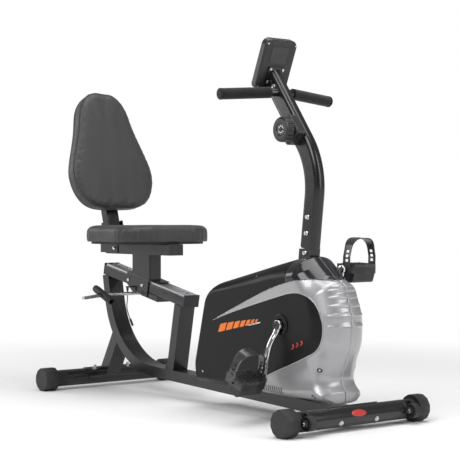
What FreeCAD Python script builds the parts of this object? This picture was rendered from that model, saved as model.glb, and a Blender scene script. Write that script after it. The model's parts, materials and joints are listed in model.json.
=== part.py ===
import FreeCAD, Part
import math
import os
import Sketcher
from FreeCAD import Vector as V, Placement, Rotation

# Recumbent magnetic exercise bike, millimetres.
# +X runs from the backrest towards the console, +Y is the rider's left, +Z is up.
# The origin lies on the floor under the middle of the whole bike.
os.makedirs("parts", exist_ok=True)
doc = FreeCAD.newDocument("exercise_bike")
dims = doc.addObject("Spreadsheet::Sheet", "dims")
D = {}


def dim(name, value):
    row = len(D) + 1
    dims.set("A%d" % row, name)
    dims.set("B%d" % row, "%.6f" % float(value))
    dims.setAlias("B%d" % row, name)
    D[name] = float(value)
    return name


def cell(value, hint):
    """A shared dimension by its name, or a new cell for a size of one piece."""
    if isinstance(value, str):
        return value
    name = hint
    while name in D:
        name += "x"
    return dim(name, value)


# ---- shared driving dimensions ------------------------------------------------
dim("shift_x", 661.05)          # front stabilizer axis ahead of the origin
dim("wheelbase", 1289)         # between the two stabilizer axes
dim("stab_axis_z", 39.5)
dim("stab_radius", 28.9)
dim("cap_outer_y", 280)
dim("tube_w", 60)              # width of all the rectangular frame tubes
dim("tube_h", 36)              # depth of the main tube
dim("tube_wall", 2.0)
dim("main_bend_r", 290)
dim("rail_h", 34)
dim("track_h", 6)
dim("rail_slope", 11.2)
dim("saddle_r", 32.0)
dim("crank_len", 165)
dim("crank_z", 290)
dim("crank_back", 218)         # crank axis behind the front stabilizer axis
dim("fly_r", 112)
dim("pulley_r", 118)
dim("small_pulley_r", 14.75)
dim("shell_half", 90)
dim("shell_wall", 3)
dim("pedal_plane", 128)
dim("spindle_r", 6.0)
dim("axle_r", 8.5)
dim("grip_r", 17.2)
dim("bar_r", 12.5)
dim("knob_r", 38)
dim("wheel_r", 21.5)
dim("m_bolt_r", 4.0)
dim("m_head_r", 8.0)

SX = D["shift_x"]
TH = math.radians(D["rail_slope"])
CT, ST = math.cos(TH), math.sin(TH)


def P(x, y, z):
    """Point given from the front stabilizer axis."""
    return V(x + SX, y, z)


def rot_to(d, up=None):
    """Rotation that carries +Z onto d, with local X kept along up when given."""
    d = V(d).normalize()
    if up is None:
        return Rotation(V(0, 0, 1), d)
    x = V(up)
    x = (x - d * x.dot(d)).normalize()
    y = d.cross(x)
    return Rotation(x, y, d, "ZXY")


def bind(obj, prop, name):
    obj.setExpression(prop, "dims." + name)


# ---- primitives ---------------------------------------------------------------
def cyl(name, r, length, pos, d=(0, 0, 1)):
    o = doc.addObject("Part::Cylinder", name)
    bind(o, "Radius", cell(r, name + "_rad"))
    bind(o, "Height", cell(length, name + "_len"))
    o.Placement = Placement(pos, rot_to(V(*d) if isinstance(d, tuple) else d))
    return o


def box(name, lx, ly, lz, centre, rot=None):
    o = doc.addObject("Part::Box", name)
    n = [cell(lx, name + "_lx"), cell(ly, name + "_ly"), cell(lz, name + "_lz")]
    for prop, c in zip(("Length", "Width", "Height"), n):
        bind(o, prop, c)
    rot = rot or Rotation()
    half = V(D[n[0]] / 2, D[n[1]] / 2, D[n[2]] / 2)
    o.Placement = Placement(centre - rot.multVec(half), rot)
    return o


def fuse(name, objs):
    o = doc.addObject("Part::MultiFuse", name)
    o.Shapes = objs
    o.Refine = True
    return o


def cut(name, base, tool):
    o = doc.addObject("Part::Cut", name)
    o.Base = base
    o.Tool = tool
    o.Refine = True
    return o


def group(name, objs):
    o = doc.addObject("Part::Compound", name)
    o.Links = objs
    return o


# ---- PartDesign helpers -------------------------------------------------------
def body(name):
    return doc.addObject("PartDesign::Body", name)


def origin_part(b, role):
    return [o for o in b.Origin.OriginFeatures if o.Role == role][0]


def sketch(b, role, name, off=0.0):
    s = b.newObject("Sketcher::SketchObject", name)
    s.AttachmentSupport = [(origin_part(b, role), "")]
    s.MapMode = "FlatFace"
    if off:
        s.AttachmentOffset = Placement(V(0, 0, off), Rotation())
    return s


def rect(s, w, h, hint, cx=0.0, cy=0.0):
    """Rectangle w by h with its size held by two driven constraints."""
    wn, hn = cell(w, hint + "_w"), cell(h, hint + "_h")
    w, h = D[wn], D[hn]
    g = [V(cx - w / 2, cy - h / 2, 0), V(cx + w / 2, cy - h / 2, 0), V(cx + w / 2, cy + h / 2, 0), V(cx - w / 2, cy + h / 2, 0)]
    i = s.GeometryCount
    for k in range(4):
        s.addGeometry(Part.LineSegment(g[k], g[(k + 1) % 4]), False)
    for k in range(4):
        s.addConstraint(Sketcher.Constraint("Coincident", i + k, 2, i + (k + 1) % 4, 1))
    for k, c in ((0, "Horizontal"), (2, "Horizontal"), (1, "Vertical"), (3, "Vertical")):
        s.addConstraint(Sketcher.Constraint(c, i + k))
    if cx == 0 and cy == 0:
        s.addConstraint(Sketcher.Constraint("Symmetric", i, 1, i + 2, 1, -1, 1))
    a = s.addConstraint(Sketcher.Constraint("DistanceX", i, 1, i, 2, w))
    c = s.addConstraint(Sketcher.Constraint("DistanceY", i + 1, 1, i + 1, 2, h))
    s.setExpression("Constraints[%d]" % a, "dims." + wn)
    s.setExpression("Constraints[%d]" % c, "dims." + hn)


def circle(s, x, y, r, hint):
    rn = cell(r, hint + "_cr")
    i = s.addGeometry(Part.Circle(V(x, y, 0), V(0, 0, 1), D[rn]), False)
    a = s.addConstraint(Sketcher.Constraint("Radius", i, D[rn]))
    s.setExpression("Constraints[%d]" % a, "dims." + rn)


def loop_edges(pts, closed=True):
    """Lines joined by tangent arcs; each point is (x, y) or (x, y, corner radius)."""
    n = len(pts)
    P2 = [V(p[0], p[1], 0) for p in pts]
    R = [p[2] if len(p) > 2 else 0 for p in pts]
    ends = []
    for k in range(n):
        p = P2[k]
        if R[k] <= 0 or (not closed and k in (0, n - 1)):
            ends.append((p, None, p))
            continue
        a = (P2[k - 1] - p).normalize()
        b = (P2[(k + 1) % n] - p).normalize()
        ang = a.getAngle(b)
        t = R[k] / math.tan(ang / 2)
        bis = (a + b).normalize()
        c = p + bis * (R[k] / math.sin(ang / 2))
        ends.append((p + a * t, c - bis * R[k], p + b * t))
    out = []
    for k in range(n):
        e = ends[k]
        if e[1] is not None:
            out.append(Part.Arc(e[0], e[1], e[2]))
        if k < n - 1 or closed:
            f = ends[(k + 1) % n]
            if (f[0] - e[2]).Length > 1e-6:
                out.append(Part.LineSegment(e[2], f[0]))
    return out


def loop(s, pts):
    for g in loop_edges(pts):
        s.addGeometry(g, False)


def pad(b, s, length, name, sym=False, rev=False, sub=False):
    o = b.newObject("PartDesign::Pocket" if sub else "PartDesign::Pad", name)
    o.Profile = s
    bind(o, "Length", cell(length, name + "_len"))
    if sym:
        o.SideType = "Symmetric"
    o.Reversed = rev
    s.Visibility = False
    b.Tip = o
    return o


def revolve(b, s, name, role="Z_Axis", sub=False):
    o = b.newObject("PartDesign::Groove" if sub else "PartDesign::Revolution", name)
    o.Profile = s
    o.ReferenceAxis = (origin_part(b, role), [""])
    o.Angle = 360
    b.Tip = o
    return o


def polar(b, feats, n, name, role="Z_Axis"):
    o = b.newObject("PartDesign::PolarPattern", name)
    o.Originals = feats
    o.Axis = (origin_part(b, role), [""])
    o.Angle = 360
    o.Occurrences = n
    b.Tip = o
    return o


def fillet(b, base, pick, r, name, chamfer=False):
    doc.recompute([b])
    names = ["Edge%d" % (i + 1) for i, e in enumerate(base.Shape.Edges) if pick(e)]
    o = b.newObject("PartDesign::Chamfer" if chamfer else "PartDesign::Fillet", name)
    o.Base = (base, names)
    bind(o, "Size" if chamfer else "Radius", cell(r, name + "_r"))
    b.Tip = o
    return o


def prism_y(name, pts, width, y=0.0, holes=()):
    """Flat outline in X and Z, given from the front stabilizer axis, width along Y."""
    b = body(name)
    s = sketch(b, "XZ_Plane", name + "_outline")
    loop(s, pts)
    for k, h in enumerate(holes):
        if len(h) == 3:
            circle(s, h[0], h[1], h[2], "%s_hole%d" % (name, k))
        else:
            loop(s, h)
    p = pad(b, s, width, name + "_pad", sym=True)
    b.Placement = Placement(V(SX, y, 0), Rotation())
    return b, p


def tube_rect(name, p0, p1, w, h, wall="tube_wall", up=(0, 1, 0)):
    """Straight rectangular tube; w runs along up, h across it."""
    b = body(name)
    s = sketch(b, "XY_Plane", name + "_section")
    rect(s, w, h, name)
    wn = D[w] if isinstance(w, str) else w
    hn = D[h] if isinstance(h, str) else h
    t = D[wall] if isinstance(wall, str) else wall
    rect(s, wn - 2 * t, hn - 2 * t, name + "_bore")
    pad(b, s, (p1 - p0).Length, name + "_pad")
    b.Placement = Placement(p0, rot_to(p1 - p0, up))
    return b


def turned(name, prof, pos, d=(0, -1, 0), corner=None):
    """Turned piece: closed outline of (radius, along) points about the axis d."""
    b = body(name)
    s = sketch(b, "XZ_Plane", name + "_outline")
    loop(s, prof)
    revolve(b, s, name + "_turn")
    b.Placement = Placement(pos, rot_to(V(*d), None if corner is None else corner))
    return b


def ring(r0, r1, z0, z1, c=0.0):
    if c:
        return [(r0, z0), (r1 - c, z0), (r1, z0 + c), (r1, z1 - c), (r1 - c, z1), (r0, z1)]
    return [(r0, z0), (r1, z0), (r1, z1), (r0, z1)]


def feature(name, shape):
    o = doc.addObject("Part::Feature", name)
    o.Shape = shape
    return o


NODES = []


def node(obj, label=None):
    if label:
        obj.Label = label
    NODES.append(obj)
    return obj


# ---- rail geometry ------------------------------------------------------------
def rail_bottom(x):
    return 341.0 + math.tan(TH) * (-944.0 - x)


def rail_pt(x, up, y=0.0):
    """Point at bottom-line station x, raised square to the rail by up."""
    return P(x + ST * up, y, rail_bottom(x) + CT * up)


RU = V(-CT, 0, ST)             # along the rail, rearwards and up
RN = V(ST, 0, CT)              # square to the rail, up
RROT = rot_to(RN, V(-CT, 0, ST).negative())


def beam_bottom(x):
    return 60.0 - 0.0403 * (x + 891.0)


# ---- main tube: front beam, one large bend, rear upright ------------------------
TW, TH2, WL = D["tube_w"], D["tube_h"], D["tube_wall"]
R0 = D["main_bend_r"]
F0 = math.atan(0.0403)
F1 = math.radians(90 - D["rail_slope"])
bs = (-972.0, beam_bottom(-972.0) + TH2 / 2)
bc = (bs[0] + R0 * math.sin(F0), bs[1] + R0 * math.cos(F0))
be = (bc[0] - R0 * math.sin(F1), bc[1] - R0 * math.cos(F1))
fm = (F0 + F1) / 2
bm = (bc[0] - R0 * math.sin(fm), bc[1] - R0 * math.cos(fm))
up_len = (rail_bottom(be[0]) - be[1]) / (math.sin(F1) - math.tan(TH) * math.cos(F1))
bt = (be[0] - math.cos(F1) * up_len, be[1] + math.sin(F1) * up_len)
bf = (-22.0, beam_bottom(-22.0) + TH2 / 2)
b = body("main_tube")
path = sketch(b, "XZ_Plane", "main_tube_path")
path.addGeometry(Part.LineSegment(V(bf[0], bf[1], 0), V(bs[0], bs[1], 0)), False)
path.addGeometry(Part.Arc(V(bs[0], bs[1], 0), V(bm[0], bm[1], 0), V(be[0], be[1], 0)), False)
path.addGeometry(Part.LineSegment(V(be[0], be[1], 0), V(bt[0], bt[1], 0)), False)
sec = b.newObject("Sketcher::SketchObject", "main_tube_section")
sec.AttachmentSupport = [(origin_part(b, "YZ_Plane"), "")]
sec.MapMode = "FlatFace"
sec.AttachmentOffset = Placement(V(0, bf[1], bf[0]), Rotation(V(1, 0, 0), math.degrees(-F0) * 0))
rect(sec, "tube_w", "tube_h", "main_tube")
rect(sec, TW - 2 * WL, TH2 - 2 * WL, "main_bore")
pipe = b.newObject("PartDesign::AdditivePipe", "main_tube_sweep")
pipe.Profile = sec
pipe.Spine = path
b.Tip = pipe
s = sketch(b, "XZ_Plane", "main_tube_nose")
circle(s, 0, D["stab_axis_z"], D["saddle_r"] + 0.02, "main_tube_nose")
pk = pad(b, s, 80, "main_tube_cope", sym=True, sub=True)
b.Placement = Placement(V(SX, 0, 0), Rotation())
main_tube = node(b)

# ---- rear brace, between the bend and the rear saddle --------------------------
WBX = -D["wheelbase"]
ZS = D["stab_axis_z"]
Ro = R0 + TH2 / 2 + 0.02


def on_bend(deg):
    f = math.radians(deg)
    return (bc[0] - Ro * math.sin(f), bc[1] - Ro * math.cos(f))


pa, pb, pm = on_bend(56.0), on_bend(48.0), on_bend(52.0)
rs = D["saddle_r"] + 0.02
qa = (WBX + rs * math.cos(math.radians(92)), ZS + rs * math.sin(math.radians(92)))
qm = (WBX + rs * math.cos(math.radians(48)), ZS + rs * math.sin(math.radians(48)))
qb = (WBX + rs * math.cos(math.radians(8)), ZS + rs * math.sin(math.radians(8)))
b = body("rear_brace")
s = sketch(b, "XZ_Plane", "rear_brace_outline")
v2 = lambda q: V(q[0], q[1], 0)
s.addGeometry(Part.LineSegment(v2(qa), v2(pa)), False)
s.addGeometry(Part.Arc(v2(pa), v2(pm), v2(pb)), False)
s.addGeometry(Part.LineSegment(v2(pb), v2(qb)), False)
s.addGeometry(Part.Arc(v2(qb), v2(qm), v2(qa)), False)
p = pad(b, s, "tube_w", "rear_brace_pad", sym=True)
b.Placement = Placement(V(SX, 0, 0), Rotation())
node(b)

# ---- front post under the rail ---------------------------------------------------
pt = []
for dx in (-17.5, 17.5):
    top = (-819.5 + dx, rail_bottom(-819.5 + dx))
    k = (top[1] - (beam_bottom(top[0]) + TH2 / math.cos(F0))) / (CT - 0.0403 * ST)
    pt.append((top, (top[0] - ST * k, top[1] - CT * k)))
b, p = prism_y("front_post", [pt[0][0], pt[1][0], pt[1][1], pt[0][1]], "tube_w")
node(b)

# ---- seat rail, its track, end caps and screws ----------------------------------
XR, XF = -1269.0, -788.0       # stations of the rail's two ends
r0, r1 = rail_pt(XF, D["rail_h"] / 2), rail_pt(XR, D["rail_h"] / 2)
rail = node(tube_rect("seat_rail", r0, r1, "tube_w", "rail_h", 2.5))
fillet(rail, rail.Tip, lambda e: abs(e.Length - (r1 - r0).Length) < 1e-3 and abs(abs(e.CenterOfMass.x) - TW / 2) < 1e-3 and abs(abs(e.CenterOfMass.y) - D["rail_h"] / 2) < 1e-3, 3.0, "seat_rail_round")
# the track is a shallow channel with two shoulders
b = body("rail_track")
s = sketch(b, "XY_Plane", "rail_track_section")
th = D["track_h"]
loop(s, [(-27, 0), (27, 0), (27, th), (19, th), (19, th - 2.5), (-19, th - 2.5), (-19, th), (-27, th)])
tl = (XF - XR) / CT - 8.0
pad(b, s, tl, "rail_track_pad")
b.Placement = Placement(rail_pt(XF - 4, D["rail_h"] + 0.01), rot_to(RU, V(0, 1, 0)))
# local Y of this placement points along d x up
chk = b.Placement.Rotation.multVec(V(0, 1, 0))
if chk.dot(RN) < 0:
    b.Placement = Placement(rail_pt(XF - 4, D["rail_h"] + 0.01), rot_to(RU, V(0, -1, 0)))
node(b)
caps = []
for k, (x, d) in enumerate(((XF, 1), (XR, -1))):
    c = rail_pt(x, (D["rail_h"] + th) / 2) - RU * (2.01 * d)
    lid = box("rail_lid%d" % k, 4, 62, 41, c, RROT)
    plug = box("rail_plug%d" % k, 20, 54.5, 28.5, rail_pt(x, D["rail_h"] / 2) + RU * (10 * d - 0.1 * d), RROT)
    caps.append(fuse("rail_cap%d" % k, [lid, plug]))
node(group("rail_end_caps", caps))
scr = []
for k, x in enumerate((-1252, -1226, -812, -836)):
    base = rail_pt(x, D["rail_h"] + th - 2.48)
    scr.append(cyl("track_screw_head%d" % k, 6.5, 4.5, base, RN))
node(group("track_screws", scr))

# ---- saddles on the stabilizers -------------------------------------------------


def saddle(name, x0, a0, a1, half):
    b = body(name)
    s = sketch(b, "XZ_Plane", name + "_outline")
    ri, ro = D["stab_radius"] + 0.02, D["saddle_r"]

    def q(r, deg):
        a = math.radians(deg)
        return V(x0 + r * math.cos(a), ZS + r * math.sin(a), 0)
    m = (a0 + a1) / 2.0
    s.addGeometry(Part.Arc(q(ro, a0), q(ro, m), q(ro, a1)), False)
    s.addGeometry(Part.LineSegment(q(ro, a1), q(ri, a1)), False)
    s.addGeometry(Part.Arc(q(ri, a1), q(ri, m), q(ri, a0)), False)
    s.addGeometry(Part.LineSegment(q(ri, a0), q(ro, a0)), False)
    pad(b, s, 2 * half, name + "_pad", sym=True)
    b.Placement = Placement(V(SX, 0, 0), Rotation())
    return b


node(saddle("front_saddle", 0.0, 92, 232, 97))
node(saddle("rear_saddle", WBX, -10, 112, 100))

# ---- stabilizer tubes -------------------------------------------------------------
STUB = 184.0                   # half length of each steel tube


def bolt_axis(deg):
    a = math.radians(deg)
    return V(math.cos(a), 0, math.sin(a))


FB, RB = bolt_axis(152.5), bolt_axis(61.0)
for name, x0, ax in (("front_stabilizer", 0.0, FB), ("rear_stabilizer", WBX, RB)):
    b = body(name)
    s = sketch(b, "XZ_Plane", name + "_section")
    circle(s, x0, ZS, "stab_radius", name)
    circle(s, x0, ZS, D["stab_radius"] - 2.0, name + "_bore")
    pad(b, s, 2 * STUB, name + "_pad", sym=True)
    b.Placement = Placement(V(SX, 0, 0), Rotation())
    tools = [cyl("%s_drill%d" % (name, k), D["m_bolt_r"] + 0.05, 120, P(x0, y, ZS) - ax * 60, ax) for k, y in enumerate((-70, 70))]
    o = cut(name + "_drilled", b, group(name + "_drills", tools))
    o.Label = name + "_tube"
    b.Label = name + "_blank"
    node(o, name)

# the saddles and tubes share the drilled holes
for k, nm in enumerate(("front_saddle", "rear_saddle")):
    i = [j for j, o in enumerate(NODES) if o.Label == nm][0]
    blank = NODES[i]
    x0, ax = ((0.0, FB), (WBX, RB))[k]
    tools = [cyl("%s_drill%d" % (nm, j), D["m_bolt_r"] + 0.05, 120, P(x0, y, ZS) - ax * 60, ax) for j, y in enumerate((-70, 70))]
    blank.Label = nm + "_blank"
    o = cut(nm + "_drilled", blank, group(nm + "_drills", tools))
    o.Label = nm
    NODES[i] = o

# bolts: domed head under the tube, cap nut and washer above the saddle
rt, ro = D["stab_radius"], D["saddle_r"]
for name, x0, ax in (("front_bolts", 0.0, FB), ("rear_bolts", WBX, RB)):
    parts_b, parts_n = [], []
    for k, y in enumerate((-70, 70)):
        c = P(x0, y, ZS)
        b = turned("%s_bolt%d" % (name, k), [(0, -rt - 4.2), (5.5, -rt - 3.2), (8.5, -rt - 0.6), (8.5, -rt + 1.2), (4.0, -rt + 1.2), (4.0, ro + 9), (0, ro + 9)], c, (ax.x, ax.y, ax.z))
        parts_b.append(b)
        n = turned("%s_nut%d" % (name, k), [(4.05, ro + 0.35), (9.5, ro + 0.35), (9.5, ro + 2.2), (7.0, ro + 2.2), (7.0, ro + 8.5), (5.4, ro + 12.0), (2.5, ro + 13.6), (0, ro + 13.9), (0, ro + 9.1), (4.05, ro + 9.1)], c, (ax.x, ax.y, ax.z))
        parts_n.append(n)
    node(group(name, parts_b))
    node(group(name.replace("bolts", "nuts"), parts_n))

# ---- end caps ---------------------------------------------------------------------
YC = D["cap_outer_y"]


def cap(name, x0, side, wheel):
    """Twelve-sided rubber cap; the flat at the bottom stands on the floor."""
    b = body(name)
    # local Z runs outwards, the plug inside the tube first
    s = sketch(b, "XZ_Plane", name + "_plug")
    z0 = 0.0
    if wheel:
        loop(s, [(0, z0 - 24), (26.4, z0 - 24), (26.4, z0 + 0.3), (28.9, z0 + 0.3), (28.9, z0 + 53), (0, z0 + 53)])
    else:
        loop(s, [(0, z0 - 24), (26.4, z0 - 24), (26.4, z0 + 0.3), (28.9, z0 + 0.3), (28.9, z0 + 46), (0, z0 + 46)])
    revolve(b, s, name + "_turn")
    s2 = sketch(b, "XY_Plane", name + "_rim", 45.0 if not wheel else 52.0)
    rr = D["stab_axis_z"] / math.cos(math.pi / 12)
    for k in range(12):
        a0, a1 = math.radians(15 + 30 * k), math.radians(45 + 30 * k)
        s2.addGeometry(Part.LineSegment(V(rr * math.cos(a0), rr * math.sin(a0), 0), V(rr * math.cos(a1), rr * math.sin(a1), 0)), False)
    pd = pad(b, s2, (YC - STUB) - (45.0 if not wheel else 52.0), name + "_rimpad")
    out = YC - STUB
    fillet(b, pd, lambda e: e.CenterOfMass.z > out - 1e-3 and e.BoundBox.ZLength < 1e-6 and abs(V(e.CenterOfMass.x, e.CenterOfMass.y, 0).Length - D["stab_axis_z"]) < 0.2, 3.0, name + "_bevel", chamfer=True)
    last = b.Tip
    if wheel:
        # slot for the transport wheel, open to the front, and its two lugs
        s3 = sketch(b, "XY_Plane", name + "_slot", 9.0)
        rect(s3, 60, 52, name + "_slot", 40.0, 0.0)
        s3.AttachmentOffset = Placement(V(0, 0, 9.0), Rotation())
        pad(b, s3, 24, name + "_slotcut", rev=True, sub=True)
        for k, z in enumerate((3.6, 33.2)):
            s4 = sketch(b, "XY_Plane", "%s_lug%d" % (name, k), z)
            loop(s4, [(10, -10), (40, -10), (47, -6, 3), (49.5, 0, 4), (47, 6, 3), (40, 10), (10, 10)])
            circle(s4, 40.0, 0.0, 3.05, "%s_lughole%d" % (name, k))
            pad(b, s4, 5.2, "%s_lugpad%d" % (name, k))
    # local X stays along +X
    z = V(0, side, 0)
    x = V(1, 0, 0)
    b.Placement = Placement(P(x0, side * STUB, ZS), Rotation(x, z.cross(x), z, "ZXY"))
    return b


for nm, x0, side, wh in (("front_cap_right", 0.0, -1, True), ("front_cap_left", 0.0, 1, True), ("rear_cap_right", WBX, -1, False), ("rear_cap_left", WBX, 1, False)):
    node(cap(nm, x0, side, wh))

# ---- transport wheels and their pins -----------------------------------------------
WX, WZ = 40.0, ZS
pins = []
for nm, side in (("right", -1), ("left", 1)):
    y = side * (STUB + 10.2)
    w = turned("transport_wheel_" + nm, [(3.3, 0), (9, 0), (9, 2.5), (17, 2.5), (17, 0.5), (20.5, 0.5), (D["wheel_r"], 1.6), (D["wheel_r"], 20.6 - 0.8), (20.5, 21.6 - 0.2), (17, 21.4), (17, 18.9), (9, 18.9), (9, 21.6), (3.3, 21.6)], P(WX, y, WZ), (0, side, 0))
    node(w)
    pins.append(turned("wheel_pin_" + nm, [(0, -9.6), (5.5, -9.6), (6.2, -8.6), (6.2, -6.8), (3.0, -6.8), (3.0, 28.6), (5.2, 28.6), (5.2, 32.4), (4.2, 33.2), (0, 33.2)], P(WX, y, WZ), (0, side, 0)))
node(group("wheel_pins", pins))

# ---- seat carriage ----------------------------------------------------------------
RTOP = D["rail_h"] + D["track_h"]
b = body("seat_carriage")
s = sketch(b, "XY_Plane", "seat_carriage_section")
# section across the rail: local X is Y, local Y is square to the rail
g = 0.8
loop(s, [(-(30 + g + 3), -17), (-(30 + g), -17), (-(30 + g), RTOP + g), (30 + g, RTOP + g), (30 + g, -17), (30 + g + 3, -17), (30 + g + 3, RTOP + g + 3, 2), (-(30 + g + 3), RTOP + g + 3, 2)])
pad(b, s, 134, "seat_carriage_pad")
b.Placement = Placement(rail_pt(-992, 0), rot_to(RU, V(0, 1, 0)))
if b.Placement.Rotation.multVec(V(0, 1, 0)).dot(RN) < 0:
    b.Placement = Placement(rail_pt(-992, 0), rot_to(RU, V(0, -1, 0)))
# slanted lower rear corner of both side plates
s = sketch(b, "YZ_Plane", "seat_carriage_slant")
loop(s, [(-30, 90), (-30, 150), (14, 150), (-17.01, 92)])
pc = pad(b, s, 120, "seat_carriage_slantcut", sym=True, sub=True)
node(b)
base_top = RTOP + g + 3
# front lip of the carriage's top plate
node_lip = box("carriage_lip", 34, 64, 3.0, rail_pt(-992, RTOP + g + 1.5) - RU * 17.05, RROT)
node(node_lip, "carriage_lip")
heads = []
for k, (x, h) in enumerate(((-1116 + 8, 17.0), (-1023, 17.0))):
    for m, side in enumerate((-1, 1)):
        c = rail_pt(x - 3, h, side * (30 + g + 3 + 0.02))
        heads.append(turned("carriage_bolt%d%d" % (k, m), [(0, 0), (6.5, 0), (6.5, 2.2), (4.5, 4.2), (0, 4.6)], c, (0, side, 0)))
node(group("carriage_bolts", heads))
# nylon slides inside the carriage, clear of the rail by a hair
pads_n = []
for k, x in enumerate((-1120, -1010)):
    pads_n.append(box("slide_pad%d" % k, 18, 40, 0.5, rail_pt(x, RTOP + 0.53), RROT))
node(group("slide_pads", pads_n))

# ---- seat column -------------------------------------------------------------------
cx0, cx1 = -1098.0, -990.0
zc = lambda x: rail_bottom(x - ST * base_top * 1.0) + CT * base_top  # top plate height under x
b, p = prism_y("seat_column", [(cx0, zc(cx0) + 0.02), (cx1, zc(cx1) + 0.02), (cx1, 480), (cx0, 480)], 50)
doc.recompute()
s = sketch(b, "XY_Plane", "seat_column_hollow", 480.0)
rect(s, 102, 44, "seat_column_hollow", (cx0 + cx1) / 2, 0)
pad(b, s, 100, "seat_column_bore", sub=True)
fillet(b, b.Tip, lambda e: abs(e.BoundBox.XLength) < 1e-6 and abs(e.BoundBox.YLength) < 1e-6 and abs(abs(e.CenterOfMass.y) - 25) < 1e-3, 4.0, "seat_column_round")
node(b)

# ---- seat channel under the seat -----------------------------------------------------
b = body("seat_channel")
s = sketch(b, "YZ_Plane", "seat_channel_section")
loop(s, [(-29, 480.02), (-26, 480.02), (-26, 515), (26, 515), (26, 480.02), (29, 480.02), (29, 518, 3), (-29, 518, 3)])
pad(b, s, 424, "seat_channel_pad")
s = sketch(b, "XZ_Plane", "seat_channel_slant")
loop(s, [(-0.01, 480), (40, 480), (14, 492), (-0.01, 507)])
pad(b, s, 80, "seat_channel_slantcut", sym=True, sub=True)
b.Placement = Placement(V(SX - 1295, 0, 0), Rotation())
node(b)
# closed front and a floor plate welded between the channel's sides over the column
node(box("channel_floor", 120, 51.9, 3.0, P(-1044, 0, 481.55)), "channel_floor")
node(box("channel_front", 3.0, 58, 37.9, P(-869.45, 0, 499.0)), "channel_front")

# ---- backrest tube -------------------------------------------------------------------
BL = math.radians(16.4)
BD = V(-math.sin(BL), 0, math.cos(BL))         # up the backrest
BNF = V(math.cos(BL), 0, math.sin(BL))         # forward from the backrest


def back_pt(z, fwd, y=0.0):
    """Point on the tube's centre line at height z, moved forward square to it."""
    return P(-1275.7 - (z - 615.0) * math.tan(BL), y, z) + BNF * fwd


b = tube_rect("back_tube", back_pt(519.5, 0), back_pt(872, 0), 50, 38, 2.0)
fillet(b, b.Tip, lambda e: abs(e.Length - (back_pt(872, 0) - back_pt(519.5, 0)).Length) < 1e-3 and abs(abs(e.CenterOfMass.x) - 25) < 1e-3 and abs(abs(e.CenterOfMass.y) - 19) < 1e-3, 4.0, "back_tube_round")
back_tube = node(b)
# gusset plates that clamp the tube's foot to the channel
gus = []
for k, side in enumerate((-1, 1)):
    bb, pp = prism_y("back_gusset%d" % k, [(-1290, 484), (-1180, 484), (-1180, 517, 6), (-1222, 517), (-1243, 600, 4), (-1286, 588, 4), (-1264, 517), (-1290, 505)], 3.0, side * (29 + 1.52))
    gus.append(bb)
node(group("back_gussets", gus))
gb = []
for k, (x, z) in enumerate(((-1270, 574), (-1257, 540), (-1200, 500))):
    for m, side in enumerate((-1, 1)):
        gb.append(turned("gusset_bolt%d%d" % (k, m), [(0, 0), (7, 0), (7, 2.5), (5, 5), (0, 5.4)], P(x, side * 32.05, z), (0, side, 0)))
node(group("gusset_bolts", gb))

# ---- seat board and pad ---------------------------------------------------------------
SCX = -1035.0


def seat_loop(hx, hy, r):
    return [(SCX + hx, -hy, r), (SCX + hx, hy, r), (SCX - hx, hy, r * 0.85), (SCX - hx, -hy, r * 0.85)]


b = body("seat_board")
s = sketch(b, "XY_Plane", "seat_board_outline", 518.02)
loop(s, seat_loop(150, 172, 90))
pad(b, s, 7.0, "seat_board_pad")
b.Placement = Placement(V(SX, 0, 0), Rotation())
node(b)
b = body("seat_pad")
s = sketch(b, "XY_Plane", "seat_pad_outline", 525.3)
loop(s, seat_loop(171, 195, 108))
pd = pad(b, s, 50.0, "seat_pad_pad")
fillet(b, pd, lambda e: e.BoundBox.ZLength < 1e-6 and e.CenterOfMass.z > 570, 16.0, "seat_pad_crown")
b.Placement = Placement(V(SX, 0, 0), Rotation())
node(b)
node(group("seat_bolts", [turned("seat_bolt%d" % k, [(0, 0), (6.5, 0), (6.5, 4.0), (0, 5.0)], P(x, y, 514.95), (0, 0, -1)) for k, (x, y) in enumerate(((-1150, -14), (-1150, 14), (-920, -14), (-920, 14)))]))

# ---- backrest board and pad -------------------------------------------------------------
# outline in the plane of the backrest: across, then up from the height of 618
FACE = 1 / math.cos(BL)
OUT = [(0, 1053), (44, 1049), (82, 1024), (105, 985), (121, 928), (146, 854), (167, 790), (174, 752), (170, 712), (150, 664), (116, 633), (70, 620), (0, 618)]


def back_outline(inset):
    cz = 790.0
    pts = []
    for (y, z) in OUT:
        l = math.hypot(y, z - cz)
        k = (l - inset) / l
        pts.append((y * k, (cz + (z - cz) * k - 615.0) * FACE))
    full = pts + [(-y, z) for (y, z) in reversed(pts[1:-1])]
    return full


def back_body(name, inset, thick, fwd, round_r):
    b = body(name)
    s = sketch(b, "XY_Plane", name + "_outline")
    pts = [V(-y, z, 0) for (y, z) in back_outline(inset)]
    c = Part.BSplineCurve()
    c.interpolate(pts, PeriodicFlag=True)
    s.addGeometry(c, False)
    pd = pad(b, s, thick, name + "_pad")
    if round_r:
        fillet(b, pd, lambda e: e.CenterOfMass.z > thick - 0.01, round_r, name + "_crown")
    # local X to +Y, local Y up the backrest, local Z forward
    b.Placement = Placement(back_pt(615.0, fwd), Rotation(V(0, 1, 0), BD, BNF, "ZXY"))
    return b


node(back_body("back_board", 12.0, 8.0, 19.05, 0))
node(back_body("back_pad", 0.0, 44.0, 27.4, 15.0))
bb_ = []
for k, z in enumerate((700, 830)):
    for m, y in enumerate((-14, 14)):
        bb_.append(turned("back_bolt%d%d" % (k, m), [(0, 0), (6.5, 0), (6.5, 3.5), (4.5, 5.0), (0, 5.4)], back_pt(z, -19.05, y), (-BNF.x, 0, -BNF.z)))
node(group("back_bolts", bb_))

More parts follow.
